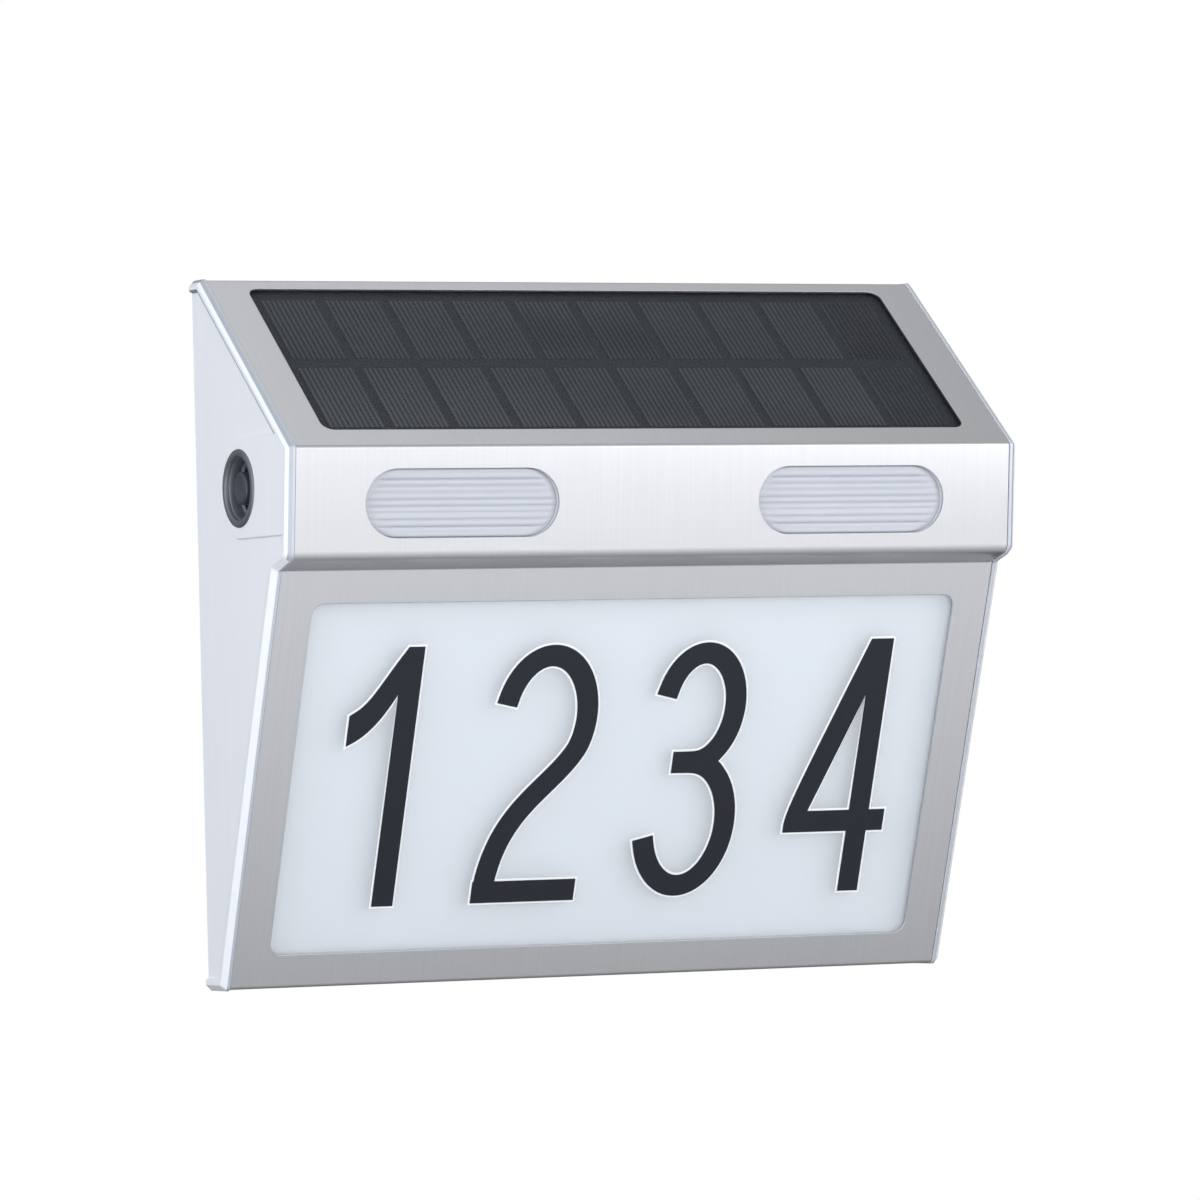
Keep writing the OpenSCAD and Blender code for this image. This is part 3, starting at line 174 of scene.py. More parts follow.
@dataclass(frozen=True)
class Finish:
    """A finish: what the real surface is, with a grain and a slow drift of its tone.

    Attributes:
        name: the material's name.
        colour: sRGB hex of the surface.
        roughness: how dull it is.
        metallic: 1 for bare metal.
        ior: index of refraction.
        alpha: below 1 for thin clear parts that let light straight through.
        transmission: share of the light that passes through the body.
        coat: weight of a clear coat.
        sheen: weight of a dusty sheen, for rubber and foam.
        grain: size of the surface's grain along x, y and z.
        grain_depth: height of the grain.
        drift: how far the tone wanders, as a share.
        drift_size: size of the patches that wander, along x, y and z.
        dullness_drift: how far the roughness wanders.
    """

    name: str
    colour: str
    roughness: float = 0.4
    metallic: float = 0.0
    ior: float = 1.5
    alpha: float = 1.0
    transmission: float = 0.0
    coat: float = 0.0
    sheen: float = 0.0
    grain: tuple[float, float, float] = (0.6, 0.6, 0.6)
    grain_depth: float = 0.01
    drift: float = 0.03
    drift_size: tuple[float, float, float] = (14.0, 14.0, 14.0)
    dullness_drift: float = 0.05

    def material(self) -> Material:
        """Gives the material, which is made once for each name."""
        found = bpy.data.materials.get(self.name)
        if found:
            return found
        made = bpy.data.materials.new(self.name)
        graph = Graph(made)
        shader = graph.add(
            "BsdfPrincipled",
            {
                "Base Color": self.tone(graph),
                "Metallic": self.metallic,
                "Roughness": self.dullness(graph),
                "IOR": self.ior,
                "Alpha": self.alpha,
                "Normal": self.relief(graph),
                "Transmission Weight": self.transmission,
                "Coat Weight": self.coat,
                "Sheen Weight": self.sheen,
            },
        )
        graph.add("OutputMaterial", {"Surface": shader})
        return made

    @staticmethod
    def wander(graph: Graph, size: Iterable[float], low: float, high: float) -> NodeSocket:
        """Gives a value that wanders over the surface.

        Args:
            graph: the material's nodes.
            size: size of its patches along each axis, in millimetres.
            low: its lower end.
            high: its upper end.

        Returns:
            The value.
        """
        # The noise stays nearly always between 0.3 and 0.7
        return graph.ramp(graph.noise(size), 0.3, 0.7, low, high)

    def tone(self, graph: Graph) -> NodeSocket:
        """Gives the colour, which wanders a little over the surface."""
        shade = self.wander(graph, self.drift_size, 1 - self.drift, 1 + self.drift)
        return graph.add(
            "VectorMath", {"operation": "MULTIPLY", 0: linear(self.colour)[:3], 1: shade}
        )

    def dullness(self, graph: Graph) -> NodeSocket:
        """Gives the roughness, which wanders in patches of four grains."""
        low = max(self.roughness - self.dullness_drift, 0.02)
        high = self.roughness + self.dullness_drift
        return self.wander(graph, (4 * s for s in self.grain), low, high)

    def relief(self, graph: Graph) -> NodeSocket:
        """Gives the normal, raised by the grain."""
        height = graph.noise(self.grain)
        return graph.add(
            "Bump", {"Strength": 1.0, "Distance": self.grain_depth * MM, "Height": height}
        )


@dataclass(frozen=True)
class LinedFinish(Finish):
    """A finish with thin parallel lines across x, in groups that repeat.

    Attributes:
        line_colour: sRGB hex of the lines.
        group: width of a group with its gap.
        filled: width of the lined part of a group.
        lines: lines in a group.
        line_width: width of a line.
    """

    line_colour: str = "#5e646b"
    group: float = 17.65
    filled: float = 15.15
    lines: int = 11
    line_width: float = 0.45

    def tone(self, graph: Graph) -> NodeSocket:
        """Gives the base colour with the lines on it."""
        base = super().tone(graph)
        half = self.filled / self.lines / 2
        start = (self.group - self.filled) / 2
        in_group = graph.math("FLOORED_MODULO", graph.along("X"), self.group * MM)
        from_start = graph.math("SUBTRACT", in_group, start * MM)
        from_line = graph.math("PINGPONG", from_start, half * MM)
        on_line = graph.ramp(
            from_line, (half - self.line_width) * MM, (half - self.line_width / 3) * MM
        )
        line = linear(self.line_colour)
        return graph.add("Mix", {"data_type": "RGBA", 7: line, 0: on_line, 6: base}, 2)


# Stainless steel sheet, brushed downwards: fine streaks that run down the faces
BRUSHED_STEEL = Finish(
    "brushed_stainless_steel", "#d4d5d9", roughness=0.34, metallic=1.0,
    grain=(0.3, 30.0, 30.0), grain_depth=0.002, drift=0.022, drift_size=(0.45, 50.0, 50.0),
    dullness_drift=0.012,
)
# White ABS moulding with a satin, silver-white lacquer: soft sheen, faint upright streaks
LACQUERED_ABS = Finish(
    "satin_lacquered_abs", "#eef1f6", roughness=0.33, coat=0.15,
    grain=(0.5, 0.5, 6.0), grain_depth=0.004, drift=0.012, drift_size=(9.0, 1.6, 60.0),
)
# Silver lacquer on the cheeks' chamfer
SILVER_LACQUER = Finish(
    "silver_lacquer", "#c6ced8", roughness=0.42, metallic=0.55, grain_depth=0.0, drift=0.02
)
# Painted shade: a grey line on the inner edge of the rim, where the rim's shadow falls, in a
# darker tone of the same lacquer
PAINTED_RIM_SHADE = Finish(
    "painted_rim_shade_line", "#99a1ad", metallic=0.3, grain_depth=0.0, drift=0.02
)
# The same ABS inside and at the back: fine spark-eroded grain
MOULDED_ABS = Finish(
    "spark_grained_abs", "#e6e9ee", roughness=0.46, grain=(0.45, 0.45, 0.45),
    grain_depth=0.03, drift=0.02,
)
# Clear cover of the panel, PET film: glossy, almost invisible
PANEL_FILM = Finish(
    "clear_pet_film", "#33373c", roughness=0.2, ior=1.3, alpha=0.25, grain_depth=0.0,
    drift=0.0, dullness_drift=0.0,
)
# Monocrystalline cells: dark, with printed silver fingers down the slope
SILICON = LinedFinish(
    "monocrystalline_silicon", "#3a3f44", roughness=0.5, ior=1.25, grain_depth=0.0,
    drift=0.02, drift_size=(17.65, 60.0, 60.0),
)
# Circuit board with black solder mask, under the cells
BLACK_BOARD = Finish(
    "black_solder_mask", "#3a3f44", roughness=0.5, ior=1.25, grain_depth=0.0
)
# Circuit board with green solder mask and glass cloth that shows faintly
GREEN_BOARD = Finish(
    "green_solder_mask", "#1f6b3a", roughness=0.3, grain=(0.5, 0.5, 0.5), grain_depth=0.012,
    drift=0.12, drift_size=(1.2, 6.0, 1.2),
)
# Circuit boards of the lamps: white solder mask
WHITE_BOARD = Finish("white_solder_mask", "#eeeee8", roughness=0.35)
# Foam pad: closed cells, dull
FOAM = Finish(
    "closed_cell_foam", "#3a3a3c", roughness=0.9, sheen=0.2, grain=(0.8, 0.8, 0.8),
    grain_depth=0.15, drift=0.08, drift_size=(1.5, 1.5, 1.5),
)
# Ribbed lens, frosted polycarbonate: milky, lets the lamp's light through
LENS = Finish(
    "frosted_polycarbonate", "#c8ccd6", roughness=0.34, ior=1.58, transmission=0.12,
    grain_depth=0.0, drift=0.01,
)
# Acrylic plate that carries the numbers, lightly frosted behind
ACRYLIC = Finish(
    "frosted_cast_acrylic", "#f3f8fe", roughness=0.1, ior=1.49, alpha=0.4, grain_depth=0.0,
    drift=0.0,
)
# Opal acrylic diffuser
OPAL = Finish("opal_acrylic", "#eff5fc", roughness=0.4, drift=0.012, drift_size=(40, 40, 40))
# Reflectors and light tray, gloss white polystyrene
GLOSS_WHITE = Finish("gloss_white_polystyrene", "#f4f5f7", roughness=0.18, grain_depth=0.004)
# Cases of the light-emitting chips, white ceramic
CHIP_CASE = Finish("white_ceramic_case", "#f0efe9", roughness=0.5)
# Yellow phosphor in silicone on the chips
PHOSPHOR = Finish(
    "yellow_phosphor_silicone", "#e9c53c", roughness=0.25, grain=(0.15, 0.15, 0.15),
    grain_depth=0.02, drift=0.05, drift_size=(0.4, 0.4, 0.4),
)
# Cut vinyl film of the numbers, matt near-black
BLACK_VINYL = Finish(
    "matt_black_vinyl", "#1f222b", roughness=0.5, ior=1.35, grain=(0.3, 0.3, 0.3),
    grain_depth=0.004,
)
# White vinyl that backs each number
WHITE_VINYL = Finish("white_vinyl", "#f6f8fb", roughness=0.4, grain_depth=0.003, drift=0.01)
# Switch ring and cup, turned aluminium, grey anodised: fine turning marks
GREY_ANODISED = Finish(
    "grey_anodised_aluminium", "#8a8d96", roughness=0.34, metallic=0.75,
    grain=(0.12, 4.0, 4.0), grain_depth=0.004,
)
# Floor of the cup under the ring, near-black: painted shade for the dark hollow round the cap
PAINTED_CUP_SHADE = Finish("painted_shade_cup_floor", "#0e0f11", roughness=0.6, ior=1.3)
# Push cap, aluminium, dark anodised
DARK_ANODISED = Finish(
    "dark_anodised_aluminium", "#565b67", roughness=0.36, metallic=0.6, grain_depth=0.005
)
# Plunger, white acetal
ACETAL = Finish("white_acetal", "#e6e6e2", roughness=0.35)
# Springs, bright stainless wire with drawing marks
SPRING_WIRE = Finish(
    "drawn_stainless_wire", "#c9ccd2", roughness=0.2, metallic=1.0, grain=(0.2, 0.2, 0.2),
    grain_depth=0.003,
)
# Screws, bright zinc plated steel
ZINC = Finish(
    "bright_zinc_plating", "#b9bcc2", roughness=0.26, metallic=1.0, drift=0.05,
    drift_size=(2.0, 2.0, 2.0),
)
# Gasket and washer, EPDM rubber
EPDM = Finish(
    "epdm_rubber", "#323338", roughness=0.75, sheen=0.1, grain_depth=0.03, drift=0.05
)
# Battery holder, switch body and chips, black glass-filled nylon
BLACK_NYLON = Finish(
    "black_glass_filled_nylon", "#1d1e21", roughness=0.5, grain=(0.4, 0.4, 0.4),
    grain_depth=0.02, drift=0.08,
)
# Contacts and terminals, tinned brass
TINNED_BRASS = Finish("tinned_brass", "#cfc9b4", roughness=0.3, metallic=1.0, drift=0.06)
# Coil core, ferrite
FERRITE = Finish("ferrite", "#2c2d31", roughness=0.6, grain_depth=0.03, drift=0.1)
# Enamelled copper wire
COPPER_WIRE = Finish("enamelled_copper_wire", "#b5652f", roughness=0.28, metallic=0.9)
# Capacitor cans, PET sleeve on aluminium
CAN_SLEEVE = Finish("printed_pet_sleeve", "#3b4a6b", roughness=0.3)
# Bare aluminium of the capacitor tops
CAN_TOP = Finish("bare_aluminium", "#c6c9ce", roughness=0.3, metallic=1.0)
# Sockets, natural nylon
NYLON = Finish("natural_nylon", "#f1eee2", roughness=0.45)
# Battery wrap, PVC film
BATTERY_WRAP = Finish("shrunk_pvc_wrap", "#2f6fb5", roughness=0.28, drift=0.04)
# Lead sleeves, PVC
LEAD_SLEEVE = Finish("red_pvc_sleeve", "#a02a2a", roughness=0.4)


def put(name: str, data: ID) -> Object:
    """Puts an object with its data into the scene."""
    made = bpy.data.objects.new(name, data)
    bpy.context.scene.collection.objects.link(made)
    return made


def to_mesh(bm: BMesh, name: str) -> Mesh:
    """Turns a bmesh, which is freed, to a mesh."""
    mesh = bpy.data.meshes.new(name)
    bm.normal_update()
    bm.to_mesh(mesh)
    bm.free()
    return mesh


def dress(node: str, finish: Finish) -> Object:
    """Gives a CAD node its finish and leaves its mesh as it is.

    Args:
        node: the node's name.
        finish: what it is made of.

    Returns:
        The node's object.
    """
    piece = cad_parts[node]
    piece.data.materials.clear()
    piece.data.materials.append(finish.material())
    piece.data.shade_smooth()
    piece.data.set_sharp_from_angle(angle=math.radians(HARD))
    return piece


def add_piece(
    bm: BMesh, name: str, finishes: Sequence[Finish], replaces: Sequence[str] = (),
    body: Body = Body.LAMP, sharp: float = 35.0, even: bool = True,
) -> Object:
    """Turns a bmesh to a piece that rides on a body.

    Args:
        bm: the piece's mesh, which is freed.
        name: the piece's name.
        finishes: its finish for each material number.
        replaces: the CAD nodes that it stands for.
        body: the body that it moves with.
        sharp: the least angle between faces that stays a hard edge.
        even: whether large faces rule the shading of the small ones beside them.

    Returns:
        The object.
    """
    mesh = to_mesh(bm, name)
    mesh.shade_smooth()
    mesh.set_sharp_from_angle(angle=math.radians(sharp))
    piece = put(name, mesh)
    for finish in finishes:
        mesh.materials.append(finish.material())
    if even:
        weighting = piece.modifiers.new("even_shading", "WEIGHTED_NORMAL")
        weighting.keep_sharp = True
    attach(piece, body.value)
    if replaces:
        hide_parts(*replaces)
    return piece


def copied(node: str) -> BMesh:
    """Copies a CAD node's mesh and joins its loose triangles."""
    bm = bmesh.new()
    bm.from_mesh(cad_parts[node].data)
    bmesh.ops.remove_doubles(bm, verts=bm.verts, dist=SAME)
    return bm


def merged(node: str) -> BMesh:
    """Copies a CAD node's mesh with whole faces for its triangles."""
    bm = copied(node)
    bmesh.ops.dissolve_limit(
        bm, angle_limit=math.radians(FLAT), verts=bm.verts, edges=bm.edges
    )
    return bm


def soften(bm: BMesh, width: float, segments: int = 2, sharp: float = HARD) -> None:
    """Rounds the hard edges of a mesh.

    Args:
        bm: the mesh.
        width: width of the rounding, in millimetres.
        segments: faces across it.
        sharp: the least angle of an edge that is rounded.
    """
    least = math.radians(sharp)
    hard = [e for e in bm.edges if len(e.link_faces) == 2 and e.calc_face_angle(0) > least]
    bmesh.ops.bevel(
        bm, geom=hard, offset=width * MM, offset_type="OFFSET", segments=segments,
        profile=0.5, affect="EDGES", clamp_overlap=True, material=-1, loop_slide=True,
    )


def softened(node: str, finish: Finish, width: float = 0.1) -> Object:
    """Stands a copy with rounded edges in for a CAD node.

    Args:
        node: the node's name.
        finish: what it is made of.
        width: width of the rounding, in millimetres.

    Returns:
        The copy.
    """
    bm = merged(node)
    soften(bm, width)
    return add_piece(bm, f"{node}_shaped", [finish], [node])


@dataclass
class Box:
    """The upright box round a node or one of its solids.

    Attributes:
        low: its corner with the least of each coordinate, in metres.
        high: its corner with the greatest.
    """

    low: Vector
    high: Vector

    @property
    def middle(self) -> Vector:
        """Gives its middle."""
        return (self.low + self.high) / 2

    @property
    def size(self) -> Vector:
        """Gives its size."""
        return self.high - self.low

    def from_left(self) -> Matrix:
        """Gives a place in the middle of its left side, with x into the box."""
        return Matrix.Translation((self.low.x, *self.middle.yz))

    def from_wall(self) -> Matrix:
        """Gives a place in the middle of its side to the wall, with x into the box."""
        foot = Matrix.Translation((self.middle.x, self.high.y, self.middle.z))
        return foot @ Matrix.Rotation(-math.pi / 2, 4, "Z")


def islands(node: str) -> list[Box]:
    """Lists the box of each separate solid of a node, from left to right."""
    bm = copied(node)
    left = set(bm.verts)
    boxes = []
    while left:
        stack = [left.pop()]
        found = []
        while stack:
            vert = stack.pop()
            found.append(vert.co.copy())
            near = {edge.other_vert(vert) for edge in vert.link_edges} & left
            left -= near
            stack += near
        axes = list(zip(*found))
        boxes.append(Box(Vector(map(min, axes)), Vector(map(max, axes))))
    bm.free()
    return sorted(boxes, key=lambda box: tuple(round(c, 5) for c in box.low))


@dataclass
class Plane:
    """A flat face of a node: x to the right, y up the face and z out of it.

    Attributes:
        place: turns the face's own coordinates to the frame's.
        width: size along x, in metres.
        height: size up the face, in metres.
    """

    place: Matrix
    width: float
    height: float


def front_plane(node: str) -> Plane:
    """Finds the foremost flat face of a node that the viewer looks at.

    Args:
        node: the node's name.

    Returns:
        The face.
    """
    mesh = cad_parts[node].data
    areas: dict[tuple[float, ...], float] = {}
    for face in mesh.polygons:
        # Only faces that look forwards, and not to a side
        if face.normal.y < -0.2 and abs(face.normal.x) < 0.01:
            key = tuple(round(c, 2) for c in face.normal)
            areas[key] = areas.get(key, 0.0) + face.area
    rough = Vector(max(areas, key=lambda key: areas[key])).normalized()
    largest = max(
        (f for f in mesh.polygons if f.normal.dot(rough) > 0.999), key=lambda f: f.area
    )
    out = largest.normal.normalized()
    up = out.cross(Vector((1, 0, 0))).normalized()
    facing = [f for f in mesh.polygons if f.normal.dot(out) > 0.9995]
    depth = max(f.center.dot(out) for f in facing)
    foremost = [f for f in facing if f.center.dot(out) > depth - 0.01 * MM]
    points = [mesh.vertices[v].co for f in foremost for v in f.vertices]
    xs = sorted(p.x for p in points)
    ups = sorted(p.dot(up) for p in points)
    middle = Vector(((xs[0] + xs[-1]) / 2, 0, 0)) + up * (ups[0] + ups[-1]) / 2 + out * depth
    place = Matrix.Translation(middle) @ Matrix(
        [(1, up.x, out.x, 0), (0, up.y, out.y, 0), (0, up.z, out.z, 0), (0, 0, 0, 1)]
    )
    return Plane(place, xs[-1] - xs[0], ups[-1] - ups[0])


def neighbours(loop: Sequence) -> Iterable[tuple]:
    """Gives each item of a closed loop between the one before it and the one after it."""
    return zip([*loop[-1:], *loop[:-1]], loop, [*loop[1:], *loop[:1]])


def settle(bm: BMesh, place: Matrix) -> BMesh:
    """Turns a closed mesh's faces outwards, moves it to its place and returns it."""
    bmesh.ops.recalc_face_normals(bm, faces=bm.faces)
    bmesh.ops.transform(bm, matrix=place, verts=bm.verts)
    return bm


def lathe(profile: Sequence[tuple[float, float]], place: Matrix, steps: int) -> BMesh:
    """Turns a closed outline about the x axis.

    Args:
        profile: radius and place along the axis of each point, in millimetres.
        place: moves the turned shape to its place.
        steps: faces round the axis.

    Returns:
        The mesh.
    """
    bm = bmesh.new()
    points = [bm.verts.new((along * MM, 0, radius * MM)) for radius, along in profile]
    edges = [bm.edges.new((point, after)) for _, point, after in neighbours(points)]
    bmesh.ops.spin(
        bm, geom=points + edges, cent=(0, 0, 0), axis=(1, 0, 0), angle=2 * math.pi,
        steps=steps, use_merge=True,
    )
    bmesh.ops.remove_doubles(bm, verts=bm.verts, dist=SAME)
    bmesh.ops.dissolve_degenerate(bm, dist=SAME / 2, edges=bm.edges)
    return settle(bm, place)


def paint(bm: BMesh, place: Matrix, test: Callable[[float, float], bool]) -> None:
    """Gives material 1 to some faces of a turned shape, and 0 to the others.

    Args:
        bm: the shape.
        place: the place that it was turned at.
        test: says whether a face gets material 1, from the place of its middle along the axis
            and its distance from the axis, in millimetres.
    """
    back = place.inverted()
    for face in bm.faces:
        middle = back @ face.calc_center_median() / MM
        face.material_index = int(test(middle.x, middle.yz.length))


def coil(
    radius: float, end_radius: float, wire: float, length: float, turns: float, place: Matrix,
    steps: int = 20,
) -> BMesh:
    """Winds a compression spring along x from x = 0, with closed ends.

    Args:
        radius: radius of the wire's middle at the start, in millimetres.
        end_radius: the same at the far end.
        wire: radius of the wire.
        length: length of the spring over its wire.
        turns: turns in all.
        place: moves the spring to its place.
        steps: rings of the wire in each turn.

    Returns:
        The mesh.
    """
    bm = bmesh.new()
    made = bmesh.ops.create_circle(bm, cap_ends=True, segments=10, radius=wire * MM)
    bmesh.ops.rotate(
        bm, verts=made["verts"], cent=(0, 0, 0), matrix=Matrix.Rotation(math.pi / 2, 3, "X")
    )
    bmesh.ops.translate(bm, verts=made["verts"], vec=(0, 0, radius * MM))
    count = round(turns * steps)
    rise = (length - 2 * wire) / count * MM
    bmesh.ops.spin(
        bm, geom=bm.verts[:] + bm.edges[:] + bm.faces[:], cent=(0, 0, 0), axis=(1, 0, 0),
        dvec=(rise, 0, 0), angle=2 * math.pi * turns, steps=count, use_merge=False,
    )
    bmesh.ops.translate(bm, verts=bm.verts, vec=(wire * MM, 0, 0))
    for vert in bm.verts:
        share = min(max(vert.co.x / (length * MM), 0.0), 1.0)
        grow = 1 + (end_radius / radius - 1) * share
        vert.co.y *= grow
        vert.co.z *= grow
    return settle(bm, place)


def block(
    bm: BMesh, size: Sequence[float], middle: Vector, edge: float, material: int = 0,
    turn: Matrix | None = None,
) -> None:
    """Adds a block with rounded edges to a mesh.

    Args:
        bm: the mesh that gets it.
        size: its size along x, y and z, in metres.
        middle: its middle, in metres.
        edge: width of its rounded edges, in millimetres.
        material: its material number.
        turn: turns it about its middle first.
    """
    made = bmesh.ops.create_cube(bm, size=1.0)["verts"]
    bmesh.ops.scale(bm, verts=made, vec=size)
    for face in {f for v in made for f in v.link_faces}:
        face.material_index = material
    rounded = bmesh.ops.bevel(
        bm, geom=list({e for v in made for e in v.link_edges}), offset=edge * MM,
        offset_type="OFFSET", segments=2, profile=0.5, affect="EDGES", clamp_overlap=True,
        material=-1,
    )
    made = list({v for f in rounded["faces"] for v in f.verts})
    if turn:
        bmesh.ops.transform(bm, matrix=turn.to_4x4(), verts=made)
    bmesh.ops.translate(bm, verts=made, vec=middle)


def bridge(
    bm: BMesh, first: Sequence[BMVert], second: Sequence[BMVert], closed: bool = True
) -> list[BMFace]:
    """Joins two rows that have as many points.

    Args:
        bm: the mesh.
        first: one row.
        second: the other.
        closed: whether the last points are joined to the first ones.

    Returns:
        The new faces.
    """
    count = len(first)
    pairs = ((i, (i + 1) % count) for i in range(count if closed else count - 1))
    return [bm.faces.new((first[i], first[j], second[j], second[i])) for i, j in pairs]


def cap(bm: BMesh, *loops: Sequence[BMVert]) -> None:
    """Fills the flat region between closed loops of points."""
    edges = []
    for loop in loops:
        for _, *pair in neighbours(loop):
            edges.append(bm.edges.get(pair) or bm.edges.new(pair))
    bmesh.ops.triangle_fill(bm, edges=edges, use_beauty=True, use_dissolve=False)


def inset(points: Sequence[Vector], gaps: Sequence[float]) -> list[Vector]:
    """Moves each side of a closed outline inwards.

    Args:
        points: the outline's corners, with its inside on the left of each side.
        gaps: how far each side moves, in millimetres; the first runs from the first corner.

    Returns:
        The new corners.
    """
    moved = []
    for i, (last, corner, following) in enumerate(neighbours(points)):
        before = (corner - last).normalized()
        after = (following - corner).normalized()
        inward = Vector((-before.y, before.x))
        turn = before.x * after.y - before.y * after.x
        # The two moved sides meet where both distances hold
        along = (gaps[i] - gaps[i - 1] * before.dot(after)) / turn
        moved.append(corner + inward * gaps[i - 1] - before * along)
    return moved


def fillet(
    before: Vector, corner: Vector, after: Vector, radius: float, steps: int
) -> list[Vector]:
    """Rounds one corner of an outline.

    Args:
        before: the corner before it.
        corner: the corner.
        after: the corner after it.
        radius: radius of the arc, in millimetres; 0 leaves the corner.
        steps: sides of the arc.

    Returns:
        The points of the arc.
    """
    if radius == 0:
        return [corner]
    back = (before - corner).normalized()
    ahead = (after - corner).normalized()
    half = math.acos(max(-1.0, min(1.0, back.dot(ahead)))) / 2
    middle = corner + (back + ahead).normalized() * radius / math.sin(half)
    start = corner + back * radius / math.tan(half) - middle
    end = corner + ahead * radius / math.tan(half) - middle
    sweep = start.angle_signed(end)
    return [middle + Matrix.Rotation(-sweep * i / steps, 2) @ start for i in range(steps + 1)]


@dataclass
class Cheek:
    """A moulded end cheek: chamfered rim, sunk side, tongue and, on the left, a switch pad.

    Attributes:
        side: the end of the lamp that it closes.
        shell: corners of the steel's outline as depth and height, from the wall's top.
        base: place of the cheek's inner face along x.
        step: place of the floor of the cover's step.
        top: place of the rim's face.
        proud: how far the cheek stands out round the steel.
        chamfer: width of its chamfer.
        rim: width of the rim.
        rim_fall: how far the rim leans in.
        sink: depth of the sunk side.
        ease: radius of the moulded edges.
        line: width of the painted shade line on the rim, beside its inner edge.
        crease: outside radius of the sharp bends.
        bend: outside radius of the visor's lower bend.
        hollow: radius of the hollow bend.
        least: the least radius of a bend that the rim still follows.
        tongue: gaps of the tongue's sides from the steel's outline, from the slope down.
        tongue_x: place of the tongue's end.
        back: depth of the cover's step.
        step_z: lower and upper end of that step.
        pad: radius of the switch pad.
        pad_x: place of its face.
        bore: radius of the switch's hole.
    """

    side: Side
    shell: Sequence[tuple[float, float]] = (
        (0, 21), (-5.5, 21), (-60, -23.6), (-57.2, -51.4), (-49.2, -53.8), (-10, -158),
        (0, -158),
    )
    base: float = 100.2
    step: float = 100.4
    top: float = 102.4
    proud: float = 0.3
    chamfer: float = 1.5
    rim: float = 1.5
    rim_fall: float = 0.1
    sink: float = 0.8
    ease: float = 0.3
    line: float = 0.25
    crease: float = 1.2
    bend: float = 3.0
    hollow: float = 0.8
    least: float = 0.4
    tongue: tuple[float, ...] = (5.6, 3.05, 3.05, 5.8, 3.05)
    tongue_x: float = 99.2
    back: float = 3.2
    step_z: tuple[float, float] = (-156.25, 19.25)
    pad: float = 12.7
    pad_x: float = 102.35
    bore: float = 9.0

    def corners(self, gap: float) -> list[Vector]:
        """Gives the corners of the outline at a gap inside the steel's."""
        return inset([Vector(p) for p in self.shell], [gap] * 6 + [0.0])

    def outline(self, gap: float) -> list[Vector]:
        """Gives the rounded outline at a gap inside the steel's, without the wall's side."""
        corners = self.corners(gap)
        sharp = max(self.crease - gap, self.least)
        broad = max(self.bend - gap, self.least)
        radii = (0, sharp, sharp, broad, self.hollow + gap, sharp, 0)
        steps = (0, 5, 5, 8, 5, 5, 0)
        points = []
        for bend, radius, count in zip(neighbours(corners), radii, steps):
            points += fillet(*bend, radius, count)
        return points

    def section(self) -> list[tuple[float, float]]:
        """Gives the rim's cross section as place along x and gap, with eased edges."""
        brow = self.chamfer - self.proud
        inner = brow + self.rim
        floor = self.top - self.sink
        corners = (
            (self.base, -self.proud), (self.top - self.chamfer, -self.proud),
            (self.top - self.chamfer / 2, (brow - self.proud) / 2), (self.top, brow),
            # This corner splits off the strip of the rim's inner edge that carries the painted
            # shade line
            (self.top - self.rim_fall / 2, inner - self.ease - self.line),
            (self.top - self.rim_fall, inner), (floor, inner), (floor, inner + 1),
        )
        radii = (0, self.ease, 0, self.ease, 0, self.ease, self.ease)
        made = []
        for bend, radius in zip(neighbours([Vector(p) for p in corners]), radii):
            made += fillet(*bend, radius, steps=4)
        return [(p.x, p.y) for p in made]

    def lacquer(self, gap: float, height: float) -> int:
        """Gives the material number of a place on the rim.

        Args:
            gap: the gap inside the steel's outline, in millimetres.
            height: the place's height, in millimetres.

        Returns:
            1 for the silver lacquer: the inner half of the chamfer, and below the visor only the
            edge beside the steel. 2 for the painted shade line on the inner edge of the slope's
            rim, and 0 elsewhere.
        """
        brow = self.chamfer - self.proud
        if height < self.shell[3][1]:
            return int(gap < self.ease - self.proud)
        if gap < (brow - self.proud) / 2:
            return 1
        # Painted shade: the grey line on the rim's inner edge along the slope, where the rim's
        # shadow falls
        line = brow + self.rim - self.ease - self.line
        return 2 if height > self.shell[2][1] and gap > line else 0

    @staticmethod
    def points(bm: BMesh, x: float, places: Iterable[Sequence[float]]) -> list[BMVert]:
        """Adds points at a place along x."""
        return [bm.verts.new((x * MM, y * MM, z * MM)) for y, z in places]

    def solid(self, bm: BMesh, *levels: tuple[float, Sequence[Vector]]) -> None:
        """Adds a closed solid through outlines along x, bored for the switch on the left.

        Args:
            bm: the cheek's mesh.
            levels: the place of each outline along x and the outline.
        """
        rows = [self.points(bm, x, outline) for x, outline in levels]
        bores = [self.bore_loop(bm, x) for x, _ in (levels[0], levels[-1])]
        for first, second in (*zip(rows, rows[1:]), bores):
            bridge(bm, first, second)
        cap(bm, rows[0], bores[0])
        cap(bm, rows[-1], bores[1])

    def bore_loop(self, bm: BMesh, x: float) -> list[BMVert]:
        """Adds the edge of the switch's hole at a place along x, where there is one."""
        return self.points(bm, x, self.circle(self.bore)) if self.side is Side.LEFT else []

    @staticmethod
    def axis() -> Vector:
        """Gives the depth and height of the switch's axis."""
        return Box(*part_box("switch_bezel")).middle.yz / MM

    def circle(self, radius: float, steps: int = 64) -> list[Vector]:
        """Gives points round the switch's axis."""
        turns = (2 * math.pi * i / steps for i in range(steps))
        return [self.axis() + radius * Vector((math.cos(t), math.sin(t))) for t in turns]

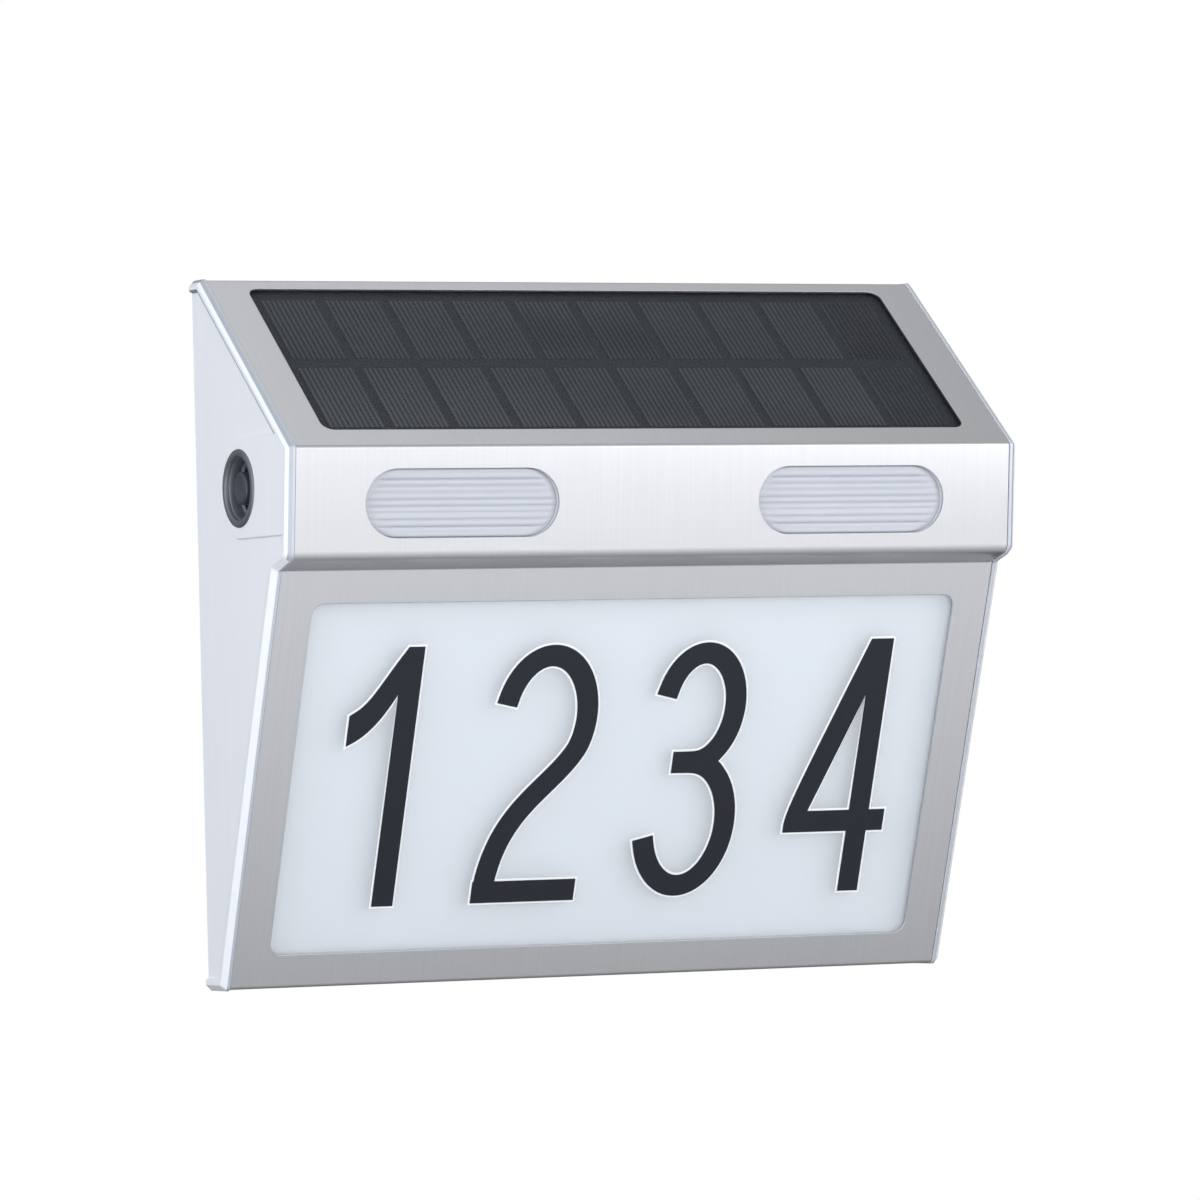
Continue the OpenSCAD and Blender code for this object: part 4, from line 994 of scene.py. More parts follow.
    def pad_outline(self) -> list[Vector]:
        """Gives the outline of the switch's pad, round behind it and along the rim before it."""
        _, top, nose, low, *_ = self.corners(self.chamfer - self.proud + self.rim / 3)
        middle = self.axis()
        rear = [p for p in self.circle(self.pad) if p.x > middle.x - 1e-6]
        rear.sort(key=lambda p: p.y)

        def front(start: Vector, end: Vector, height: float) -> Vector:
            """Finds the point of a side at a height."""
            return start.lerp(end, (height - start.y) / (end.y - start.y))

        above = front(top, nose, middle.y + self.pad)
        below = front(nose, low, middle.y - self.pad)
        return [*rear, above, nose, below]

    def build(self) -> Object:
        """Builds the cheek and returns it."""
        bm = bmesh.new()
        section = self.section()
        rows = [self.points(bm, x, self.outline(gap)) for x, gap in section]
        for i in range(len(rows) - 1):
            gap = (section[i][1] + section[i + 1][1]) / 2
            for face in bridge(bm, rows[i], rows[i + 1], closed=False):
                height = face.calc_center_median().z / MM
                face.material_index = self.lacquer(gap, height)
        low, high = self.step_z
        notch = ((0, low), (-self.back, low), (-self.back, high), (0, high))
        near, far = (self.points(bm, x, notch) for x in (self.base, self.step))
        bridge(bm, near, far, closed=False)
        bm.faces.new(far)
        bores = [self.bore_loop(bm, x) for x in (self.base, self.top - self.sink)]
        bridge(bm, *bores)
        cap(bm, rows[0] + near, bores[0])
        cap(bm, rows[-1], bores[1])
        wall = [
            e for e in bm.edges if e.is_boundary and all(abs(v.co.y) < SAME for v in e.verts)
        ]
        bmesh.ops.triangle_fill(bm, edges=wall, use_beauty=True, use_dissolve=False)
        shell = [Vector(p) for p in self.shell]
        peak = shell[1] - (shell[2] - shell[1]) * (shell[1].x / (shell[2].x - shell[1].x))
        tongue = inset([peak, *shell[2:]], [*self.tongue, self.back])
        self.solid(bm, (self.tongue_x, tongue), (self.base + self.ease / 2, tongue))
        if self.side is Side.LEFT:
            pad = self.pad_outline()
            sunk = self.top - self.sink - self.ease
            eased = inset(pad, [self.ease] * len(pad))
            self.solid(bm, (sunk, pad), (self.pad_x - self.ease, pad), (self.pad_x, eased))
            bmesh.ops.scale(bm, verts=bm.verts, vec=(-1, 1, 1))
        bmesh.ops.recalc_face_normals(bm, faces=bm.faces)
        name = f"cheek_{self.side.value}"
        # Material 2 is the painted shade line on the rim
        return add_piece(
            bm, f"{name}_moulding", [LACQUERED_ABS, SILVER_LACQUER, PAINTED_RIM_SHADE],
            [name], sharp=38.0,
        )


@dataclass
class Casing:
    """The steel face, the housing under it, the two cheeks and the back cover.

    Attributes:
        steel_edge: rounding of the sheet's sheared edges.
        back_edge: rounding of the back cover's edges.
    """

    steel_edge: float = 0.16
    back_edge: float = 0.3

    def build(self) -> list[Object]:
        """Builds the casing's pieces and returns them."""
        return [
            softened("face_sheet", BRUSHED_STEEL, self.steel_edge),
            dress("housing", MOULDED_ABS),
            *(Cheek(side).build() for side in Side),
            softened("back_cover", MOULDED_ABS, self.back_edge),
            dress("back_gasket", EPDM),
            softened("cover_screws", ZINC, width=0.12),
        ]


@dataclass
class SolarPanel:
    """The panel on the slope: clear film, cells, board and foam pad.

    Attributes:
        film_edge: rounding of the film's edges.
    """

    film_edge: float = 0.1

    def build(self) -> list[Object]:
        """Builds the panel's pieces and returns them."""
        return [
            softened("solar_glaze", PANEL_FILM, self.film_edge),
            dress("solar_cells", SILICON),
            dress("solar_board", BLACK_BOARD),
            dress("solar_pad", FOAM),
        ]


@dataclass
class Lamps:
    """The two lamps in the visor.

    Attributes:
        flutes: ribs across a lens.
        flute_depth: depth of the grooves between them.
        rim: width of the plain rim round the ribs.
        lines: rows of faces across a rib.
        end_lines: rows of faces above and below the ribs.
        columns: rows of faces from left to right.
        flange_lap: how far the flange reaches past the lens.
        flange_in: depth of the flange's front below the lens's face.
        back_in: depth of the lens's back below its face.
        edge: rounding of the lens's front edge.
        chip: size of a light-emitting chip's case.
        dome: size of the phosphor on it.
        dome_out: distance of the phosphor's middle from the case's.
    """

    flutes: int = 9
    flute_depth: float = 0.55
    rim: float = 0.9
    lines: int = 10
    end_lines: int = 4
    columns: int = 30
    flange_lap: float = 1.0
    flange_in: float = 1.75
    back_in: float = 3.48
    edge: float = 0.45
    chip: tuple[float, float, float] = (3.5, 2.8, 0.6)
    dome: tuple[float, float, float] = (2.8, 2.1, 0.12)
    dome_out: float = 0.29

    def lens(self, side: Side) -> Object:
        """Builds a lens with its ribs and flange.

        Args:
            side: the end of the lamp that it belongs to.

        Returns:
            The lens.
        """
        plane = front_plane(f"lens_{side.value}")
        half = plane.height / 2
        straight = (plane.width - plane.height) / 2
        rim = self.rim * MM
        edge = self.edge * MM
        pitch = 2 * (half - rim) / self.flutes
        bm = bmesh.new()
        rows = self.flutes * self.lines + 2 * self.end_lines
        bmesh.ops.create_grid(bm, x_segments=self.columns, y_segments=rows, size=1.0)
        for vert in bm.verts:
            # Rows crowd towards the top and bottom, where the outline turns quickest
            y = half * math.sin(vert.co.y * math.pi / 2)
            chord = straight + math.sqrt(max(half * half - y * y, 0.0))
            vert.co = (vert.co.x * chord, y, 0)
        bmesh.ops.remove_doubles(bm, verts=bm.verts, dist=SAME)
        open_edges = [e for e in bm.edges if e.is_boundary]
        side_edges, _ = self.extrude(bm, open_edges, self.flange_in)
        ledge, corners = self.extrude(bm, side_edges, 0.0)
        for vert in corners:
            x, y, _ = vert.co
            away = Vector((x - math.copysign(min(abs(x), straight), x), y, 0))
            vert.co += away.normalized() * self.flange_lap * MM
        foot, _ = self.extrude(bm, ledge, self.back_in - self.flange_in)
        bmesh.ops.holes_fill(bm, edges=foot, sides=0)
        bmesh.ops.recalc_face_normals(bm, faces=bm.faces)
        for vert in bm.verts:
            x, y, z = vert.co
            if z < -SAME:
                continue
            from_edge = half - math.hypot(max(abs(x) - straight, 0.0), y)
            rise = min(from_edge / edge, 1.0)
            vert.co.z = -edge * (1 - math.sqrt(max(1 - (1 - rise) ** 2, 0.0)))
            if from_edge > rim:
                across = 2 * ((y + half - rim) / pitch % 1) - 1
                groove = 1 - math.sqrt(1 - across * across)
                fade = min(from_edge / rim - 1, 1.0)
                vert.co.z -= self.flute_depth * MM * groove * fade
        bmesh.ops.transform(bm, matrix=plane.place, verts=bm.verts)
        return add_piece(
            bm, f"ribbed_lens_{side.value}", [LENS], [f"lens_{side.value}"],
            sharp=40.0, even=False,
        )

    @staticmethod
    def extrude(
        bm: BMesh, edges: Sequence[BMEdge], depth: float
    ) -> tuple[list[BMEdge], list[BMVert]]:
        """Draws open edges out to a wall that runs inwards.

        Args:
            bm: the mesh.
            edges: the edges.
            depth: height of the wall, in millimetres.

        Returns:
            The wall's open edges and their points.
        """
        made = bmesh.ops.extrude_edge_only(bm, edges=edges)["geom"]
        points = [g for g in made if isinstance(g, BMVert)]
        bmesh.ops.translate(bm, verts=points, vec=(0, 0, -depth * MM))
        return [g for g in made if isinstance(g, BMEdge) and g.is_boundary], points

    def chips(self) -> Object:
        """Builds the light-emitting chips: white cases with a dome of phosphor."""
        turn = front_plane("lamp_board_left").place.to_3x3()
        bm = bmesh.new()
        for box in islands("lamp_chips"):
            top = box.middle + turn @ Vector((0, 0, self.dome_out * MM))
            block(bm, Vector(self.chip) * MM, box.middle, edge=0.1, turn=turn)
            block(bm, Vector(self.dome) * MM, top, edge=0.05, material=1, turn=turn)
        return add_piece(
            bm, "lamp_chip_cases", [CHIP_CASE, PHOSPHOR], ["lamp_chips"]
        )

    def build(self) -> list[Object]:
        """Builds the pieces of both lamps and returns them."""
        return [
            *(self.lens(side) for side in Side),
            *(dress(f"reflector_{side.value}", GLOSS_WHITE) for side in Side),
            *(dress(f"lamp_board_{side.value}", WHITE_BOARD) for side in Side),
            self.chips(),
            softened("lamp_screws", ZINC),
        ]


@dataclass
class NumberWindow:
    """The lit window and the numbers on it.

    Attributes:
        plate_edge: rounding of the clear plate.
        border: width of the white film that shows round each number.
        border_height: thickness of that film.
        digit_edge: rounding of the numbers' edges.
        arc_angle: the greatest corner that belongs to an arc, in degrees.
        rounds: how often the corners of an arc are cut.
        dome: size of the phosphor on a chip of the strip.
    """

    plate_edge: float = 0.25
    border: float = 0.55
    border_height: float = 0.08
    digit_edge: float = 0.06
    arc_angle: float = 55.0
    rounds: int = 3
    dome: tuple[float, float, float] = (4.0, 4.0, 0.06)

    def outlines(self, place: int) -> tuple[Matrix, list[list[Vector]]]:
        """Finds the outlines of a number in its own plane.

        Args:
            place: the number's place from the left, from 1.

        Returns:
            The plane's place in the frame, and closed outlines with the number on their left,
            in metres.
        """
        bm = merged(f"digit_{place}")
        plane = front_plane(f"digit_{place}").place
        bmesh.ops.transform(bm, matrix=plane.inverted(), verts=bm.verts)
        bm.normal_update()
        others = [f for f in bm.faces if f.normal.z < 0.99]
        bmesh.ops.delete(bm, geom=others, context="FACES")
        after = {
            e.link_loops[0].vert: e.link_loops[0].link_loop_next.vert
            for e in bm.edges
            if e.is_boundary
        }
        found = []
        while after:
            vert = next(iter(after))
            loop = []
            while vert in after:
                loop.append(vert.co.copy())
                vert = after.pop(vert)
            found.append(loop)
        bm.free()
        return plane, found

    def smooth(self, loop: Sequence[Vector]) -> list[Vector]:
        """Cuts the shallow corners of an outline until they run as arcs."""
        for _ in range(self.rounds):
            cut = []
            for before, point, after in neighbours(loop):
                back = before - point
                ahead = after - point
                if math.degrees((-back).angle(ahead)) < self.arc_angle:
                    cut += [point + back / 4, point + ahead / 4]
                else:
                    cut.append(point)
            loop = cut
        return list(loop)

    def widened(self, loop: Sequence[Vector]) -> list[Vector]:
        """Moves an outline outwards by the border."""
        moved = []
        for before, point, after in neighbours(loop):
            back = (point - before).normalized()
            ahead = (after - point).normalized()
            outs = [Vector((way.y, -way.x, 0)) for way in (back, ahead)]
            reach = self.border * MM / max(1 + outs[0].dot(outs[1]), 0.5)
            moved.append(point + (outs[0] + outs[1]) * reach)
        return moved

    @staticmethod
    def cut_film(
        loops: Sequence[Sequence[Vector]], plane: Matrix, low: float, high: float
    ) -> BMesh:
        """Builds a film between two heights over a plane.

        Args:
            loops: the film's outlines in the plane.
            plane: the plane's place.
            low: height of its back, in metres.
            high: height of its front.

        Returns:
            The mesh.
        """
        bm = bmesh.new()
        rows = [
            [[bm.verts.new((p.x, p.y, height)) for p in loop] for loop in loops]
            for height in (low, high)
        ]
        for back, front in zip(*rows):
            bridge(bm, back, front)
        for row in rows:
            cap(bm, *row)
        return settle(bm, plane)

    def number(self, place: int) -> list[Object]:
        """Builds a number of black film with smooth arcs, and the white film under it.

        Args:
            place: the number's place from the left, from 1.

        Returns:
            The number and its backing.
        """
        node = f"digit_{place}"
        plane, loops = self.outlines(place)
        floor = (plane.inverted() @ front_plane("window_plate").place.translation).z
        white = self.cut_film(
            [self.smooth(self.widened(loop)) for loop in loops], plane, floor,
            floor + self.border_height * MM,
        )
        black = self.cut_film([self.smooth(loop) for loop in loops], plane, floor, 0.0)
        soften(black, self.digit_edge, segments=1, sharp=60.0)
        return [
            add_piece(white, f"number_backing_{place}", [WHITE_VINYL], even=False),
            add_piece(black, f"{node}_shaped", [BLACK_VINYL], [node]),
        ]

    def strip_chips(self) -> Object:
        """Builds the chips of the light strip: white cases with phosphor below."""
        bm = bmesh.new()
        for box in islands("strip_chips"):
            below = box.middle - Vector((0, 0, box.size.z / 2))
            block(bm, box.size, box.middle, edge=0.15)
            block(bm, Vector(self.dome) * MM, below, edge=0.02, material=1)
        return add_piece(
            bm, "strip_chip_cases", [CHIP_CASE, PHOSPHOR], ["strip_chips"]
        )

    def build(self) -> list[Object]:
        """Builds the window's pieces and returns them."""
        return [
            softened("window_plate", ACRYLIC, self.plate_edge),
            dress("diffuser", OPAL),
            dress("light_tray", GLOSS_WHITE),
            dress("strip_board", WHITE_BOARD),
            self.strip_chips(),
            *(piece for place in range(1, 5) for piece in self.number(place)),
        ]


@dataclass
class PushSwitch:
    """The push switch in the left cheek, turned about an axis along x.

    Attributes:
        ring: outer radius of the ring.
        proud: height of the ring above the cheek.
        cup: radius of the cup.
        cup_depth: depth of the cup's floor below the ring.
        barrel: radius of the threaded barrel.
        barrel_length: length of the barrel with the ring.
        bore: radius inside the barrel.
        floor: thickness of the cup's floor.
        cap: radius of the push cap.
        cap_sink: depth of the cap's face below the ring.
        gap: running clearance round the cap.
        thread: depth of the thread.
        thread_pitch: distance between its turns.
        shank: length of the plain barrel before it.
        crest: how far the thread stays under the plain barrel.
        lead: width of the chamfer at the barrel's end.
        wire: radius of the spring's wire.
        turns: turns of the spring.
        travel: stroke of the cap; not used.
    """

    ring: float = 9.85
    proud: float = 0.5
    cup: float = 8.1
    cup_depth: float = 4.4
    barrel: float = 8.9
    barrel_length: float = 12.5
    bore: float = 7.4
    floor: float = 1.5
    cap: float = 4.1
    cap_sink: float = 0.7
    gap: float = 0.05
    thread: float = 0.18
    thread_pitch: float = 1.0
    shank: float = 4.2
    crest: float = 0.01
    lead: float = 0.3
    wire: float = 0.32
    turns: float = 2.6
    travel: float = 1.5

    @property
    def place(self) -> Matrix:
        """Gives the middle of the ring's outer face."""
        return Box(*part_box("switch_bezel")).from_left()

    def bezel(self) -> Object:
        """Builds the ring, its stepped cup and the threaded barrel."""
        cup = self.cup
        ring = self.ring
        deep = self.cup_depth
        hole = self.cap + self.gap
        end = self.barrel_length
        top = self.barrel - self.crest
        root = self.barrel - self.thread
        along = self.proud + self.shank
        profile = [
            (cup - 0.15, 0.35), (cup, 0.12), (cup + 0.25, 0.0), (ring - 0.75, 0.0),
            (ring - 0.3, 0.08), (ring - 0.08, 0.22), (ring, 0.42), (ring, self.proud),
            (self.barrel, self.proud), (self.barrel, along),
        ]
        turn = ((root, 0.35), (root, 0.5), (top, 0.85), (top, 1.0))
        while along + self.thread_pitch < end - self.lead:
            profile += [(radius, along + self.thread_pitch * share) for radius, share in turn]
            along += self.thread_pitch
        profile += [
            (top, end - self.lead), (self.barrel - self.lead, end), (self.bore, end),
            (self.bore, deep + self.floor), (hole, deep + self.floor), (hole, deep + 0.1),
            (hole + 0.1, deep), (cup - 1.15, deep), (cup - 0.65, deep - 0.25),
            (cup - 0.5, deep - 0.8), (cup - 0.5, 1.35), (cup - 0.42, 1.22), (cup - 0.2, 1.15),
            (cup - 0.15, 1.0),
        ]
        bm = lathe(profile, self.place, steps=96)
        # Material 1 paints the cup's floor and the hole through it near-black, as shade in the
        # deep cup
        paint(bm, self.place, lambda x, away: x > deep - 0.1 and away < cup - 1)
        return add_piece(
            bm, "switch_ring", [GREY_ANODISED, PAINTED_CUP_SHADE], ["switch_bezel"],
            sharp=50.0, even=False,
        )

    def push_cap(self) -> Object:
        """Builds the push cap, with a shallow dish in its face."""
        face = self.cap_sink
        foot = self.cup_depth + self.floor + 2 * self.gap
        profile = [
            (0.0, face + 0.28), (1.2, face + 0.26), (2.2, face + 0.17), (2.9, face + 0.05),
            (3.15, face + 0.01), (3.4, face), (3.75, face + 0.06), (3.98, face + 0.2),
            (self.cap, face + 0.5), (self.cap, foot), (0.0, foot),
        ]
        return add_piece(
            lathe(profile, self.place, steps=72), "push_cap", [DARK_ANODISED],
            ["switch_cap"], Body.BUTTON, sharp=60.0, even=False,
        )

    def spring(self) -> Object:
        """Builds the return spring."""
        low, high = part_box("switch_spring")
        box = Box(low, high)
        length = box.size.x / MM
        radius = box.size.z / 2 / MM - self.wire
        bm = coil(radius, radius, self.wire, length, self.turns, box.from_left(), steps=32)
        piece = add_piece(
            bm, "return_spring", [SPRING_WIRE], ["switch_spring"], even=False
        )
        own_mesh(piece)
        return piece

    def build(self) -> list[Object]:
        """Builds the switch's pieces and returns them."""
        return [
            self.bezel(),
            self.push_cap(),
            dress("switch_plunger", ACETAL),
            self.spring(),
            dress("switch_washer", EPDM),
            softened("switch_nut", GREY_ANODISED, width=0.2),
            dress("switch_body", BLACK_NYLON),
            dress("switch_terminals", TINNED_BRASS),
        ]


@dataclass
class Electronics:
    """The control board, the battery and the leads.

    Attributes:
        leg: size of a leg of the chip.
        leg_pitch: distance between the legs.
        leg_out: how far they stand out.
        leg_foot: distance of their middle from the board.
        waist: depth of the coil's groove.
        flange: thickness of its flanges.
        winding: radius of its wire.
        spacing: distance between its turns, in radii of the wire.
        contact_wire: radius of the contact spring's wire.
        contact_end: radius of that spring's small end.
        contact_turns: its turns.
    """

    leg: tuple[float, float, float] = (1.0, 0.2, 0.4)
    leg_pitch: float = 1.27
    leg_out: float = 0.8
    leg_foot: float = 0.15
    waist: float = 1.2
    flange: float = 0.8
    winding: float = 0.28
    spacing: float = 2.1
    contact_wire: float = 0.4
    contact_end: float = 2.9
    contact_turns: float = 3.25

    def chip(self) -> Object:
        """Builds the controller: a black case with two rows of tinned legs."""
        box = Box(*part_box("controller_chip"))
        bm = bmesh.new()
        block(bm, box.size - Vector((2 * self.leg_out * MM, 0, 0)), box.middle, edge=0.15)
        out = box.size.x / 2 - self.leg[0] / 2 * MM
        count = int(box.size.z / MM / self.leg_pitch)
        for x in (box.middle.x - out, box.middle.x + out):
            for i in range(count):
                z = box.middle.z + (i - (count - 1) / 2) * self.leg_pitch * MM
                foot = Vector((x, box.high.y - self.leg_foot * MM, z))
                block(bm, Vector(self.leg) * MM, foot, edge=0.05, material=1)
        return add_piece(
            bm, "controller_case", [BLACK_NYLON, TINNED_BRASS],
            ["controller_chip"],
        )

    def inductor(self) -> Object:
        """Builds the charging coil: a ferrite bobbin with copper wound on it."""
        box = Box(*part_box("charge_coil"))
        place = box.from_wall()
        radius = box.size.x / 2 / MM
        tall = box.size.y / MM
        waist = radius - self.waist
        bm = lathe(
            [(0, 0), (radius - 0.2, 0), (radius, 0.2), (radius, 0.7), (waist, self.flange),
             (waist, tall - self.flange), (radius, tall - 0.7), (radius, tall - 0.2),
             (radius - 0.2, tall), (0, tall)],
            place, steps=40,
        )
        wound = tall - 2 * self.flange
        middle = waist + self.winding
        turns = wound / (self.spacing * self.winding)
        start = place @ Matrix.Translation((self.flange * MM, 0, 0))
        wire = coil(middle, middle, self.winding, wound, turns, start)
        for face in wire.faces:
            face.material_index = 1
        spare = to_mesh(wire, "winding")
        bm.from_mesh(spare)
        bpy.data.meshes.remove(spare)
        return add_piece(
            bm, "charging_coil", [FERRITE, COPPER_WIRE], ["charge_coil"], even=False
        )

    def cans(self) -> list[Object]:
        """Builds the capacitors: sleeved cans with a crimped foot and a bare top."""
        made = []
        for number, box in enumerate(islands("capacitors"), 1):
            radius = box.size.x / 2 / MM
            tall = box.size.y / MM
            place = box.from_wall()
            bm = lathe(
                [(0, 0), (radius - 0.3, 0), (radius, 0.25), (radius, 0.9), (radius - 0.25, 1.15),
                 (radius, 1.4), (radius, tall - 0.3), (radius - 0.25, tall - 0.05),
                 (radius - 0.6, tall), (radius - 0.75, tall - 0.1), (0, tall - 0.1)],
                place, steps=40,
            )
            paint(bm, place, lambda x, away: x > tall - 0.15 and away < radius - 0.6)
            can = add_piece(
                bm, f"capacitor_can_{number}", [CAN_SLEEVE, CAN_TOP],
                ["capacitors"], even=False,
            )
            made.append(can)
        return made

    def sockets(self) -> Object:
        """Builds the board's sockets: nylon blocks with a polarising rib."""
        bm = bmesh.new()
        for box in islands("board_sockets"):
            rib = (1.0 * MM, box.size.y * 0.6, 0.3 * MM)
            top = box.middle + Vector((0, 0, box.size.z / 2 - 0.05 * MM))
            block(bm, box.size, box.middle, edge=0.25)
            block(bm, rib, top, edge=0.05)
        return add_piece(bm, "lead_sockets", [NYLON], ["board_sockets"])

    def cell(self) -> Object:
        """Builds the battery: a wrapped can with a rolled neck and a raised pole."""
        box = Box(*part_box("battery_cell"))
        place = box.from_left()
        radius = box.size.z / 2 / MM
        length = box.size.x / MM
        profile = [
            (0, 0), (radius - 1.0, 0), (radius - 0.2, 0.15), (radius, 0.5),
            (radius, length - 6.0), (radius - 0.35, length - 5.5), (radius - 0.35, length - 4.9),
            (radius, length - 4.4), (radius, length - 1.5), (radius - 0.3, length - 1.05),
            (radius - 1.6, length - 1.0), (radius - 1.8, length - 1.3), (3.6, length - 1.3),
            (3.0, length - 1.2), (2.8, length - 0.2), (2.6, length), (0, length),
        ]
        bm = lathe(profile, place, steps=64)
        paint(
            bm, place, lambda x, away: x < 0.05 or (x > length - 1.4 and away < radius - 1.55)
        )
        return add_piece(
            bm, "wrapped_cell", [BATTERY_WRAP, SPRING_WIRE], ["battery_cell"],
            even=False,
        )

    def contact_spring(self) -> Object:
        """Builds the battery's cone-shaped contact spring."""
        box = Box(*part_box("battery_spring"))
        bm = coil(
            box.size.z / 2 / MM - self.contact_wire, self.contact_end, self.contact_wire,
            box.size.x / MM, self.contact_turns, box.from_left(), steps=32,
        )
        return add_piece(
            bm, "contact_coil", [SPRING_WIRE], ["battery_spring"], even=False
        )

    def build(self) -> list[Object]:
        """Builds the electronics and returns the pieces."""
        leads = (
            "panel_leads", "lamp_leads_left", "lamp_leads_right", "strip_leads",
            "battery_leads", "switch_leads",
        )
        return [
            softened("main_board", GREEN_BOARD),
            softened("board_screws", ZINC),
            self.chip(),
            self.inductor(),
            *self.cans(),
            self.sockets(),
            self.cell(),
            softened("battery_holder", BLACK_NYLON, width=0.3),
            self.contact_spring(),
            dress("battery_contact", TINNED_BRASS),
            softened("holder_screws", ZINC),
            *(dress(pair, LEAD_SLEEVE) for pair in leads),
        ]


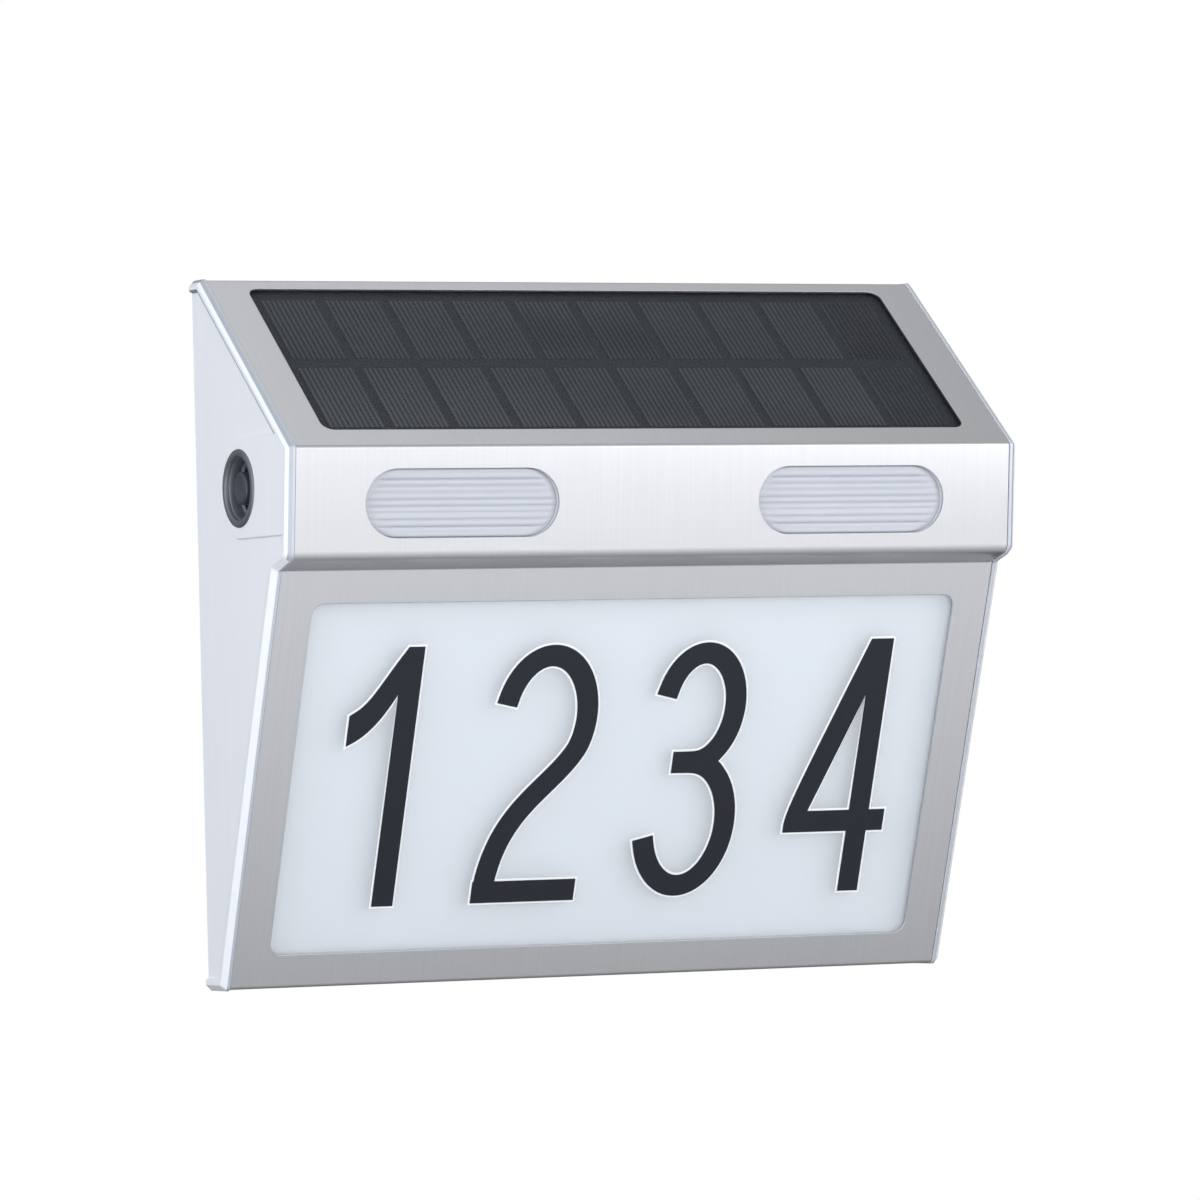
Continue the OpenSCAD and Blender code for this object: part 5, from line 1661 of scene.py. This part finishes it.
@dataclass
class Studio:
    """A white room with a pale floor, soft lamps and the camera.

    Attributes:
        eye: the camera's place, in metres.
        yaw: its turn about the upright, in degrees.
        pitch: its tilt.
        roll: its turn about its own axis.
        focal: focal length in photograph pixels.
        frame_size: width of the photograph in pixels.
        floor_z: height of the floor, in metres.
        floor_size: width of the floor.
        shadow: how light the floor is behind the lamp, beside its front part.
        shadow_y: where the floor's paper starts to darken and where it is darkest.
        ambient: light of the room on dull surfaces.
        ceiling: brightness of the room overhead in polished ones.
        behind: brightness of the room behind the object in polished ones.
        below: brightness of the room under eye level in polished ones.
        right: brightness of the room far to the right in polished ones.
        aim: the place that the lamps face, in metres.
    """

    eye: tuple[float, float, float] = (-0.8294, -1.7404, -0.1029)
    yaw: float = -25.77
    pitch: float = 1.24
    roll: float = 1.46
    focal: float = 7453.0
    frame_size: float = 1200.0
    floor_z: float = -0.27
    floor_size: float = 5.0
    shadow: float = 0.12
    shadow_y: tuple[float, float] = (-0.32, 0.12)
    ambient: float = 0.62
    ceiling: float = 0.5
    behind: float = 0.18
    below: float = 0.6
    right: float = 0.3
    aim: tuple[float, float, float] = (0.0, -0.03, -0.07)

    def camera(self) -> Object:
        """Sets up the camera at the photograph's viewing angle."""
        data = bpy.data.cameras.new("camera")
        data.lens = data.sensor_width * self.focal / self.frame_size
        data.clip_end = 20.0
        camera = put("camera", data)
        turn = (
            Matrix.Rotation(math.radians(self.yaw), 4, "Z")
            @ Matrix.Rotation(math.radians(self.pitch), 4, "X")
            @ Matrix.Rotation(math.radians(self.roll), 4, "Y")
            @ Matrix.Rotation(math.pi / 2, 4, "X")
        )
        camera.matrix_world = Matrix.Translation(self.eye) @ turn
        bpy.context.scene.camera = camera
        return camera

    def world(self) -> None:
        """Lights the room evenly, and makes it white where it is looked at."""
        world = bpy.data.worlds.new("room")
        bpy.context.scene.world = world
        graph = Graph(world)
        way = graph.add("TexCoord", output="Generated")
        fade = 1.0
        # Each part of the room: where it starts and ends along an axis, and its brightness
        for axis, start, end, least in (
            ("Z", 0.1, 0.8, self.ceiling), ("Y", 0.3, 0.9, self.behind),
            ("Z", 0.0, -0.15, self.below), ("X", 0.7, 0.95, self.right),
        ):
            place = graph.add("SeparateXYZ", {"Vector": way}, axis)
            fade = graph.math("MULTIPLY", fade, graph.ramp(place, start, end, 1.0, least))
        mix = {"data_type": "FLOAT"}
        mirrored = graph.add("Mix", {**mix, 0: graph.ray("Glossy"), 2: 1.0, 3: fade})
        # Dull surfaces get the ambient light, and all that is looked at the room's own
        seen = graph.math("MAXIMUM", graph.ray("Camera"), graph.ray("Glossy"))
        seen = graph.math("MAXIMUM", seen, graph.ray("Transmission"))
        strength = graph.add("Mix", {**mix, 0: seen, 2: self.ambient, 3: mirrored})
        glow = graph.add("Background", {"Color": (1, 1, 1, 1), "Strength": strength})
        graph.add("OutputWorld", {"Surface": glow})

    def floor(self) -> Object:
        """Lays the floor, which is white from above and not there from below."""
        bm = bmesh.new()
        bmesh.ops.create_grid(bm, x_segments=1, y_segments=1, size=self.floor_size / 2)
        bmesh.ops.translate(bm, verts=bm.verts, vec=(0, 0, self.floor_z))
        floor = put("floor", to_mesh(bm, "floor"))
        made = bpy.data.materials.new("white_paper_sweep")
        graph = Graph(made)
        shade = graph.ramp(graph.along("Y"), *self.shadow_y, 1.0, self.shadow)
        paper = graph.add("BsdfDiffuse", {"Color": shade})
        white = graph.add("Emission", {"Color": (1, 1, 1, 1), "Strength": 1.0})
        looked = graph.add("MixShader", {0: graph.ray("Camera"), 1: paper, 2: white})
        under = graph.add("NewGeometry", output="Backfacing")
        clear = graph.add("BsdfTransparent")
        surface = graph.add("MixShader", {0: under, 1: looked, 2: clear})
        graph.add("OutputMaterial", {"Surface": surface})
        floor.data.materials.append(made)
        return floor

    def lamp(
        self, name: str, at: Sequence[float], size: tuple[float, float], watts: float,
        tint: str = "#ffffff", mirrored: bool = True, diffuse: bool = True,
    ) -> Object:
        """Hangs a soft lamp that faces the middle of the object.

        Args:
            name: the lamp's name.
            at: its place, in metres.
            size: its width and height, in metres.
            watts: its power.
            tint: sRGB hex of its light.
            mirrored: whether polished surfaces show it.
            diffuse: whether it lights dull surfaces.

        Returns:
            The lamp.
        """
        data = bpy.data.lights.new(name, "AREA")
        data.shape = "RECTANGLE"
        data.size, data.size_y = size
        data.energy = watts
        data.color = linear(tint)[:3]
        lamp = put(name, data)
        turn = (Vector(self.aim) - Vector(at)).to_track_quat("-Z", "Y")
        lamp.matrix_world = Matrix.Translation(at) @ turn.to_matrix().to_4x4()
        lamp.visible_camera = False
        lamp.visible_glossy = mirrored
        lamp.visible_diffuse = diffuse
        return lamp

    def build(self) -> None:
        """Sets up the whole studio."""
        self.camera()
        self.world()
        self.floor()
        self.lamp("front_fill", (0.5, -1.3, 0.15), (1.0, 1.0), 9.5, mirrored=False)
        self.lamp("left_fill", (-1.5, -0.5, 0.3), (0.9, 0.9), 12.0, "#f3f7ff", mirrored=False)
        self.lamp("front_strip", (0.07, -0.19, -0.015), (0.42, 0.05), 0.078, diffuse=False)
        self.lamp("top_card", (0.22, 0.2, 1.1), (0.6, 0.6), 0.5, diffuse=False)
        bpy.context.scene.view_settings.view_transform = "Standard"


def main() -> None:
    """Builds the studio and every sub-assembly, and reports each piece."""
    logging.basicConfig(level=logging.INFO, format="%(name)s: %(message)s")
    Studio().build()
    for assembly in (
        Casing(), SolarPanel(), Lamps(), NumberWindow(), PushSwitch(), Electronics()
    ):
        for piece in assembly.build():
            faces = len(piece.data.polygons)
            log.info("%s: %s, %d faces", type(assembly).__name__, piece.name, faces)


if __name__ == "__main__":
    main()
